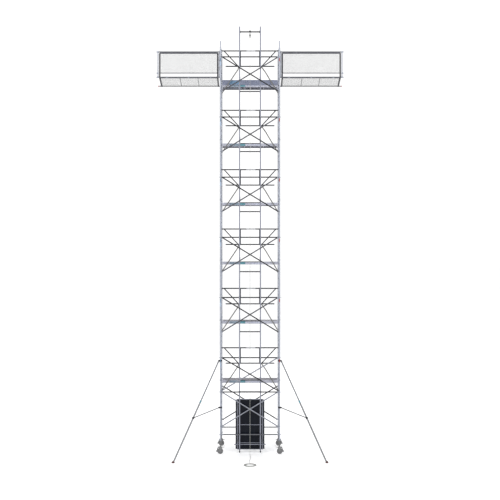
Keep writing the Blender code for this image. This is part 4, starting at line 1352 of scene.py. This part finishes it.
def track_rail(side_name, side, joints_z):
    """Slotted rail in joined lengths."""
    h = TRACK_HALF
    slot = 0.006
    slot_floor = h - 0.012
    section = [(-h, -h), (h, -h), (h, h), (slot, h), (slot, slot_floor), (-slot, slot_floor),
               (-slot, h), (-h, h)]
    x = side * TRACK_X
    edges = [0.10, *joints_z, TRACK_TOP_Z]
    rails = Shape()
    for low, high in zip(edges, edges[1:]):
        rails.sweep([(x, TRACK_Y, low + 0.0008), (x, TRACK_Y, high - 0.0008)], section, up=(0, 1, 0))
    piece(f"lift_rail_{side_name}", rails, TRACK_METAL, "tower", ["lift_track"])


def track_brackets(side_name, side, joints_z):
    """Bolted joint plates inside the rail, and clamps on the front braces."""
    x = side * TRACK_X
    plate_x = (TRACK_X - 0.0205, TRACK_X - 0.0255)
    plates = Shape()
    for z in joints_z:
        plates.side_box(side, plate_x, (TRACK_Y - 0.016, TRACK_Y + 0.014), (z - 0.10, z + 0.10), 0.001)
        for dz in (-0.07, -0.03, 0.03, 0.07):
            plates.bolt((side * (TRACK_X - 0.0255), TRACK_Y, z + dz), (-side, 0, 0), 0.006, 0.005)
    front = FRONT_Y + BRACE_R * 0.5
    back = TRACK_Y - TRACK_HALF + 0.001
    clamp = sleeve(BRACE_R + 0.0002, BRACE_R + 0.005, -0.015, 0.015)
    for level in LEVELS:
        z = deck_rung_z(level) + 3 * RUNG_PITCH
        plates.box((x - 0.018, front, z - 0.022), (x + 0.018, back, z + 0.022), 0.002)
        plates.lathe(clamp, (x, FRONT_Y, z), (1, 0, 0), 20, closed=True)
    piece(f"lift_rail_{side_name}_brackets", plates, CAST_METAL, "tower", ["lift_track"])


def track_crossbars():
    reach = TRACK_X - TRACK_HALF
    bars = Shape()
    for level in LEVELS:
        z = deck_rung_z(level) - RUNG_PITCH
        bars.tube([(-reach, TRACK_Y, z), (reach, TRACK_Y, z)], CROSSBAR_R, 16)
        for side in (-1, 1):
            weld(bars, (side * (reach - 0.001), TRACK_Y, z), (-side, 0, 0), CROSSBAR_R)
    piece("lift_crossbars", bars, CROSSBAR_METAL, "tower", ["lift_track"])


def track_feet():
    profile = [(0, 0), (0.020, 0.0), (0.0236, 0.008), (0.0225, 0.024), (0.0165, 0.050), (0.0150, 0.074),
               (0, 0.074)]
    feet = Shape()
    for side in (-1, 1):
        feet.lathe(profile, (side * TRACK_X, TRACK_Y, 0.036), (0, 0, 1), 24)
    piece("lift_track_feet", feet, BLACK_PLASTIC, "tower", ["lift_track"])


def track_head():
    """The head beam with its end brackets, swivel block, pulley cheeks and axle."""
    head = Shape()
    y = TRACK_Y
    z = HEAD_BEAM_Z
    head.tube([(-TRACK_X + 0.012, y, z), (TRACK_X - 0.012, y, z)], 0.0208, 20)
    for side in (-1, 1):
        head.side_box(side, (TRACK_X - 0.024, TRACK_X - 0.040), (y - 0.030, y + 0.022),
                      (z - 0.032, z + 0.032), 0.003)
        for dz in (0.018, -0.018):
            head.bolt((side * (TRACK_X - 0.032), y - 0.030, z + dz), (0, -1, 0), 0.006, 0.005)
    head.box((-0.029, y - 0.0235, z - 0.023), (0.029, y + 0.0235, z + 0.040), 0.005)
    head.bolt((0, y - 0.005, z + 0.039), (0, 0, 1), 0.009, 0.006)
    cheek = [(PULLEY.y - 0.017, PULLEY.z - 0.026), (PULLEY.y + 0.017, PULLEY.z - 0.026),
             (y + 0.011, PULLEY.z + 0.04), (y + 0.011, z + 0.012), (y - 0.015, z + 0.012),
             (PULLEY.y - 0.017, PULLEY.z + 0.03)]
    for side in (-1, 1):
        plate(head, cheek, side * (CHEEK_X - 0.0025), side * (CHEEK_X + 0.0025), 0)
        head.bolt((side * 0.0265, PULLEY.y, PULLEY.z), (side, 0, 0), 0.0085, 0.006)
    head.lathe(rod(0.0068, 0.022), PULLEY, (1, 0, 0), 14)
    piece("lift_head", head, BLACK_METAL, "tower", ["lift_track"])


def head_pulley():
    """A sheave with a rounded groove, built as one half and its mirror image."""
    rim = PULLEY_R + ROPE_R * 0.9
    groove = PULLEY_R - ROPE_R - 0.0006
    w = 0.0155
    half = [(0.009, -w), (0.018, -w), (0.020, -0.009), (groove - 0.014, -0.008), (groove - 0.008, -w),
            (rim - 0.002, -w), (rim, -w + 0.002)]
    half += [(groove + (rim - groove) * (i / 4) ** 2, -0.0125 * i / 4) for i in range(4, 0, -1)]
    half.append((groove, 0.0))
    mirrored = [(r, -a) for r, a in half[-2::-1]]
    sheave = Shape().lathe(half + mirrored, PULLEY, (1, 0, 0), 40, closed=True)
    piece("head_pulley_sheave", sheave, BLACK_PLASTIC, "pulley", ["head_pulley"])


def track():
    joints_z = [2.45 + 2.0 * i for i in range(6)]
    for side_name, side in SIDES.items():
        track_rail(side_name, side, joints_z)
        track_brackets(side_name, side, joints_z)
    track_crossbars()
    track_feet()
    track_head()
    head_pulley()


def carriage_frame(top_z, ledge_z):
    """Two uprights and four crossbars of different thickness."""
    x, y = CARRIAGE_X, CARRIAGE_Y
    low_z, middle_z = 0.295, 0.950
    bars = Shape()
    bars.tube([(-x, y, top_z), (x, y, top_z)], 0.0156, 18)
    bars.tube([(-0.53, y, low_z), (0.53, y, low_z)], 0.0156, 18, wall=0.002)
    bars.tube([(-x, y, middle_z), (x, y, middle_z)], 0.0118, 16)
    bars.tube([(-x, y, 0.350), (x, y, 0.350)], 0.0098, 14)
    for side in (-1, 1):
        bars.tube([(side * x, y, ledge_z - 0.004), (side * x, y, top_z + 0.014)], 0.0157, 18, wall=0.002)
        for z in (low_z, middle_z, top_z):
            weld(bars, (side * (x - 0.0145), y, z), (-side, 0, 0), 0.0140)
    piece("carriage_frame", bars, TRACK_METAL, "carriage", ["lift_carriage"])


def carriage_ledge(ledge_z):
    """The shelf that carries the panel, with a lip behind it."""
    x, y = CARRIAGE_X, CARRIAGE_Y
    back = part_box("carried_panel")[1].y + 0.007
    ledge = Shape()
    ledge.box((-x - 0.014, y - 0.012, ledge_z - 0.0095), (x + 0.014, back, ledge_z - 0.0005), 0.002)
    ledge.box((-0.30, back - 0.005, ledge_z - 0.004), (0.30, back, ledge_z + 0.030), 0.001)
    piece("carriage_ledge", ledge, CAST_METAL, "carriage", ["lift_carriage"])


def guide_shoes():
    """Four shoes beside and behind the rails, with a pair of rollers in each."""
    x, y = CARRIAGE_X, CARRIAGE_Y
    profile = [(0, -0.012), (0.012, -0.012), (0.0135, -0.009), (0.0135, 0.009), (0.012, 0.012), (0, 0.012)]
    shoes = Shape()
    rollers = Shape()
    for side in (-1, 1):
        for z in (0.42, 1.60):
            heights = (z - 0.038, z + 0.038)
            shoes.side_box(side, (TRACK_X + 0.0225, x - 0.008), (FRONT_Y + 0.040, y), heights, 0.003)
            shoes.side_box(side, (TRACK_X + 0.002, x - 0.004), (TRACK_Y + 0.0218, y - 0.006), heights, 0.003)
            for dz in (-0.022, 0.022):
                spot = (side * (TRACK_X + 0.004), TRACK_Y + 0.0350, z + dz)
                rollers.lathe(profile, spot, (1, 0, 0), 20)
    piece("carriage_guide_shoes", shoes, BLACK_PLASTIC, "carriage", ["lift_carriage"])
    piece("carriage_rollers", rollers, GREY_PLASTIC, "carriage", ["lift_carriage"])


def rope_eye(top_z):
    """A lug on the top crossbar with a ring for the lifting rope."""
    eye = Shape()
    eye.box((-0.018, REAR_FALL_Y - 0.010, top_z - 0.048), (0.018, CARRIAGE_Y + 0.008, top_z - 0.018), 0.003)
    ring = arc((0, REAR_FALL_Y, top_z - 0.011), 0.0085, 0, 360, 20, u=(1, 0, 0), v=(0, 0, 1))[:-1]
    eye.sweep(ring, circle(0.0024, 8), closed=True, up=(0, 1, 0))
    piece("carriage_rope_eye", eye, BLACK_METAL, "carriage", ["lift_carriage"])


def panel_rim(low, high):
    """The panel's black frame, with two flanges along its back."""
    t = PANEL_RIM
    sides = [(low.x, low.z, low.x + t, high.z), (high.x - t, low.z, high.x, high.z),
             (low.x + t, low.z, high.x - t, low.z + t), (low.x + t, high.z - t, high.x - t, high.z)]
    rim = Shape()
    for a, b, c, d in sides:
        rim.box((a, low.y, b), (c, high.y, d), 0.001)
    for edge_x, inward in ((low.x, 1), (high.x, -1)):
        a, b = sorted((edge_x + inward * t, edge_x + inward * (t + 0.022)))
        rim.box((a, high.y - 0.003, low.z + t), (b, high.y - 0.0005, high.z - t), 0.0005)
    piece("panel_frame", rim, BLACK_METAL, "carriage", ["carried_panel"])


def panel_glass(low, high):
    """The pane inside the rim, and a junction box behind it."""
    t = PANEL_RIM
    x0, x1, z0, z1 = low.x + t, high.x - t, low.z + t, high.z - t
    y0, y1 = low.y + 0.001, low.y + 0.007
    verts = [(x, y, z) for y in (y0, y1) for x, z in ((x0, z0), (x1, z0), (x1, z1), (x0, z1))]
    faces = [(0, 1, 2, 3), (7, 6, 5, 4), (0, 4, 5, 1), (1, 5, 6, 2), (2, 6, 7, 3), (3, 7, 4, 0)]
    glass = Shape().add(verts, faces)
    piece("panel_glass_and_cells", glass, GLASS, "carriage", ["carried_panel"])
    back_box = Shape().box((-0.09, y1, high.z - 0.26), (0.09, y1 + 0.018, high.z - 0.17), 0.004)
    piece("panel_junction_box", back_box, BLACK_PLASTIC, "carriage", ["carried_panel"])


def carriage():
    top_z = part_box("lift_carriage")[1].z
    panel_low, panel_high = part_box("carried_panel")
    ledge_z = panel_low.z - 0.002
    carriage_frame(top_z - 0.030, ledge_z)
    carriage_ledge(ledge_z)
    guide_shoes()
    rope_eye(top_z)
    panel_rim(panel_low, panel_high)
    panel_glass(panel_low, panel_high)


# Ropes


def rope_section(radius):
    """Three strands laid together."""
    outline = []
    for k in range(12):
        angle = 2 * math.pi * k / 12
        r = radius * (0.88 + 0.12 * abs(math.cos(1.5 * angle)))
        outline.append((r * math.cos(angle), r * math.sin(angle)))
    return outline


def resample(points, spacing):
    """Evenly spaced points along the straight pieces between the given ones."""
    pts = np.array([tuple(p) for p in points], float)
    gaps = np.linalg.norm(np.diff(pts, axis=0), axis=1)
    run = np.concatenate([[0.0], np.cumsum(gaps)])
    count = max(2, int(run[-1] / spacing))
    at = np.linspace(0.0, run[-1], count)
    return np.stack([np.interp(at, run, pts[:, i]) for i in range(3)], axis=1)


LAY_TWIST = 2 * math.pi / 0.055


def lifting_rope():
    low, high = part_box("lifting_rope")
    points = resample([(0, REAR_FALL_Y, low.z), (0, REAR_FALL_Y, high.z)], 0.010)
    rope = Shape().sweep(points, rope_section(ROPE_R * 0.99), up=(0, 1, 0), twist=LAY_TWIST)
    # The rising fall wears the near-black painted-shade rope finish.
    obj = piece("lifting_rope_strands", rope, LIFT_ROPE_PAINTED_SHADE, "tower", ["lifting_rope"], 60)
    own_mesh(obj)


def hauling_route():
    """Over the pulley, down the front and out along the floor, as the CAD tube runs."""
    wrap_steps = 24
    bend_r = 0.22
    bend_steps = 24
    floor_z = ROPE_R + 0.0008
    coil = middle("rope_coil")
    coil_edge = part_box("rope_coil")[1].y
    points = [(0, REAR_FALL_Y, PULLEY.z - 0.02)]
    for i in range(wrap_steps + 1):
        angle = math.pi * i / wrap_steps
        points.append((0, PULLEY.y + PULLEY_R * math.cos(angle), PULLEY.z + PULLEY_R * math.sin(angle)))
    for z in (12.0, 10.0, 8.0, 6.0, 4.0, 2.0, 1.0):
        points.append((0, FRONT_FALL_Y, z))
    for i in range(bend_steps + 1):
        angle = math.pi / 2 * i / bend_steps
        y = FRONT_FALL_Y - bend_r * (1 - math.cos(angle))
        points.append((0, y, floor_z + bend_r * (1 - math.sin(angle))))
    start_y = FRONT_FALL_Y - bend_r
    lie_steps = 40
    end_y = coil_edge + 0.09
    for i in range(1, lie_steps + 1):
        share = i / lie_steps
        y = start_y + (end_y - start_y) * share
        whole = (start_y - y) / (start_y - coil_edge)
        sway = 0.030 * math.sin(2 * math.pi * whole) * math.sin(math.pi * whole)
        points.append((sway, y, floor_z))
    return points, coil


def coil_turns(coil):
    """Flat turns from the outside in, each beside the last, then a second layer from the inside out."""
    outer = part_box("rope_coil")[1].x - 0.009
    radii = [outer - 0.0132 * i for i in range(5)]
    first_z, second_z = ROPE_R + 0.0008, 3 * ROPE_R + 0.0006
    turns = [(r, first_z) for r in radii] + [(r, second_z) for r in radii[::-1]]
    angle = math.pi / 2 - 0.30
    steps = 36
    points = []
    for turn, (r, z) in enumerate(turns):
        next_r, next_z = turns[min(turn + 1, len(turns) - 1)]
        for i in range(steps):
            share = i / steps
            ease = max(0.0, (share - 0.8) / 0.2)
            ease = ease * ease * (3 - 2 * ease)
            radius = r + (next_r - r) * ease
            height = z + (next_z - z) * ease
            a = angle - 2 * math.pi * share
            points.append((coil.x + radius * math.cos(a), coil.y + radius * math.sin(a), height))
    r, z = turns[-1]
    points.append((coil.x + r * math.cos(angle), coil.y + r * math.sin(angle), z))
    return points


def smooth_join(first, second, steps=14):
    """A curve from the end of one line into the start of another, along both directions."""
    p0, p1 = Vector(first[-1]), Vector(second[0])
    d0 = (Vector(first[-1]) - Vector(first[-2])).normalized()
    d1 = (Vector(second[1]) - Vector(second[0])).normalized()
    reach = (p1 - p0).length
    points = []
    for i in range(1, steps):
        t = i / steps
        h0 = 2 * t**3 - 3 * t**2 + 1
        h1 = t**3 - 2 * t**2 + t
        h2 = -2 * t**3 + 3 * t**2
        h3 = t**3 - t**2
        points.append(tuple(p0 * h0 + d0 * reach * h1 + p1 * h2 + d1 * reach * h3))
    return points


def hauling_rope():
    run, coil = hauling_route()
    turns = coil_turns(coil)
    route = run + smooth_join(run, turns) + turns
    points = resample(route, 0.0095)
    rope = Shape().sweep(points, rope_section(ROPE_R * 0.99), up=(1, 0, 0), twist=LAY_TWIST)
    obj = piece("hauling_rope_strands", rope, ROPE, "tower", ["hauling_rope", "rope_coil"], 60)
    end = Vector(points[-1])
    before = Vector(points[-8])
    direction = (end - before).normalized()
    knot = Shape()
    knot.lathe([(0, -0.006), (0.0072, -0.006), (0.0075, 0.0), (0.0075, 0.030), (0.006, 0.033), (0, 0.033)],
               end - direction * 0.02, direction, 16)
    knot_obj = piece("rope_end_whipping", knot, RED_PLASTIC, "tower", ())


# Stage, light and camera


def white_world():
    """White to the camera, darker at the sides for all other rays, which shades the round tubes."""
    world = bpy.data.worlds.new("studio")
    bpy.context.scene.world = world
    world.use_nodes = True
    tree = world.node_tree
    background = tree.nodes["Background"]
    coords = tree.nodes.new("ShaderNodeTexCoord")
    split = tree.nodes.new("ShaderNodeSeparateXYZ")
    tree.links.new(coords.outputs["Generated"], split.inputs["Vector"])
    sideways = tree.nodes.new("ShaderNodeMath")
    sideways.operation = "ABSOLUTE"
    tree.links.new(split.outputs["X"], sideways.inputs[0])
    sides = ramp(tree, sideways.outputs[0], [(0.45, (1.0, 1.0, 1.0)), (0.85, (0.30, 0.31, 0.33))])
    rays = tree.nodes.new("ShaderNodeLightPath")
    seen = blend(tree, rays.outputs["Is Camera Ray"], sides, (1.0, 1.0, 1.0))
    tree.links.new(seen, background.inputs["Color"])
    background.inputs["Strength"].default_value = 1.12


def pale_floor():
    """A wide floor that glows a little, so that it meets the white background."""
    floor = Shape().box((-400, -400, -0.02), (400, 400, 0.0), 0)
    mesh = bpy.data.meshes.new("floor")
    mesh.from_pydata(floor.verts, [], floor.faces)
    obj = bpy.data.objects.new("floor", mesh)
    bpy.context.scene.collection.objects.link(obj)
    made, tree, shader, coords = new_material("pale_floor")
    cloud = noise(tree, coords.outputs["Object"], 0.4)
    tone = ramp(tree, cloud, [(0.3, (0.93, 0.93, 0.93)), (0.7, (0.95, 0.95, 0.95))])
    tree.links.new(tone, shader.inputs["Base Color"])
    shader.inputs["Roughness"].default_value = 0.9
    shader.inputs["Specular IOR Level"].default_value = 0.0
    shader.inputs["Emission Color"].default_value = (1.0, 1.0, 1.0, 1.0)
    shader.inputs["Emission Strength"].default_value = 0.17
    mesh.materials.append(made)


def area_light(name, place, energy):
    """A large lamp that looks at the middle of the tower."""
    light = bpy.data.lights.new(name, "AREA")
    light.energy = energy
    light.size = 14.0
    lamp = bpy.data.objects.new(name, light)
    bpy.context.scene.collection.objects.link(lamp)
    aim = Vector((0, 0, 6.5))
    lamp.location = place
    lamp.rotation_euler = (aim - Vector(place)).to_track_quat("-Z", "Y").to_euler()


def studio():
    bpy.context.scene.view_settings.view_transform = "Standard"
    white_world()
    pale_floor()
    area_light("key", (-14, -22, 24), 2600.0)
    area_light("fill", (16, -18, 12), 1200.0)
    area_light("rear", (0, 20, 22), 1200.0)


def camera():
    """Square to the front, at the distance and height that the photo's perspective gives."""
    distance = 32.0
    height = 6.78
    data = bpy.data.cameras.new("view")
    data.lens = 69.3
    data.sensor_width = 36.0
    data.clip_end = 2000.0
    obj = bpy.data.objects.new("view", data)
    bpy.context.scene.collection.objects.link(obj)
    obj.location = (0.0, FRONT_Y - distance, height)
    obj.rotation_euler = (math.pi / 2, 0, 0)
    bpy.context.scene.camera = obj


camera()
studio()
hauling_rope()
lifting_rope()
for side_name, side in SIDES.items():
    for index in range(6):
        end_frame(side_name, side, index)
    guard_frame(side_name, side)
    frame_clips(side_name, side)
    castor_legs(side_name, side)
    outrigger(side_name, side)
    wing(side_name, side)
for level in LEVELS:
    rung_z = deck_rung_z(level)
    foot_z = rung_z - RUNG_PITCH + (0.045 if level == 1 else 0)
    # Each front brace takes two of the painted-shade brace finishes, darkest in front.
    finishes = (BRACE_DARK, BRACE_SILVER) if level == 1 else (BRACE_DARK, BRACE_LIGHT)
    cross_brace(f"front_brace_{level}", FRONT_Y, rung_z + 3 * RUNG_PITCH, foot_z, finishes=finishes)
    advance_guardrail(level)
    deck(level)
    hatch(level)
base_top = deck_rung_z(1) - RUNG_PITCH
base_foot = FIRST_RUNG_Z + RUNG_PITCH
cross_brace("base_brace_front", FRONT_Y, base_top, base_foot, finishes=(BRACE_SILVER, BRACE_SILVER))
cross_brace("base_brace_rear", REAR_Y, base_top, base_foot, with_rail=False)
# The base rails wear the painted-shade base rail finish.
horizontal_brace("base_rail_front_tube", FRONT_Y, BASE_RAIL_Z, "base_rail_front", BASE_RAIL_PAINTED_SHADE)
horizontal_brace("base_rail_rear_tube", REAR_Y, BASE_RAIL_Z, "base_rail_rear", BASE_RAIL_PAINTED_SHADE)
toe_board()
for corner in ("front_left", "front_right", "rear_left", "rear_right"):
    castor(corner, -1 if corner.endswith("left") else 1, FRONT_Y if corner.startswith("front") else REAR_Y)
track()
carriage()
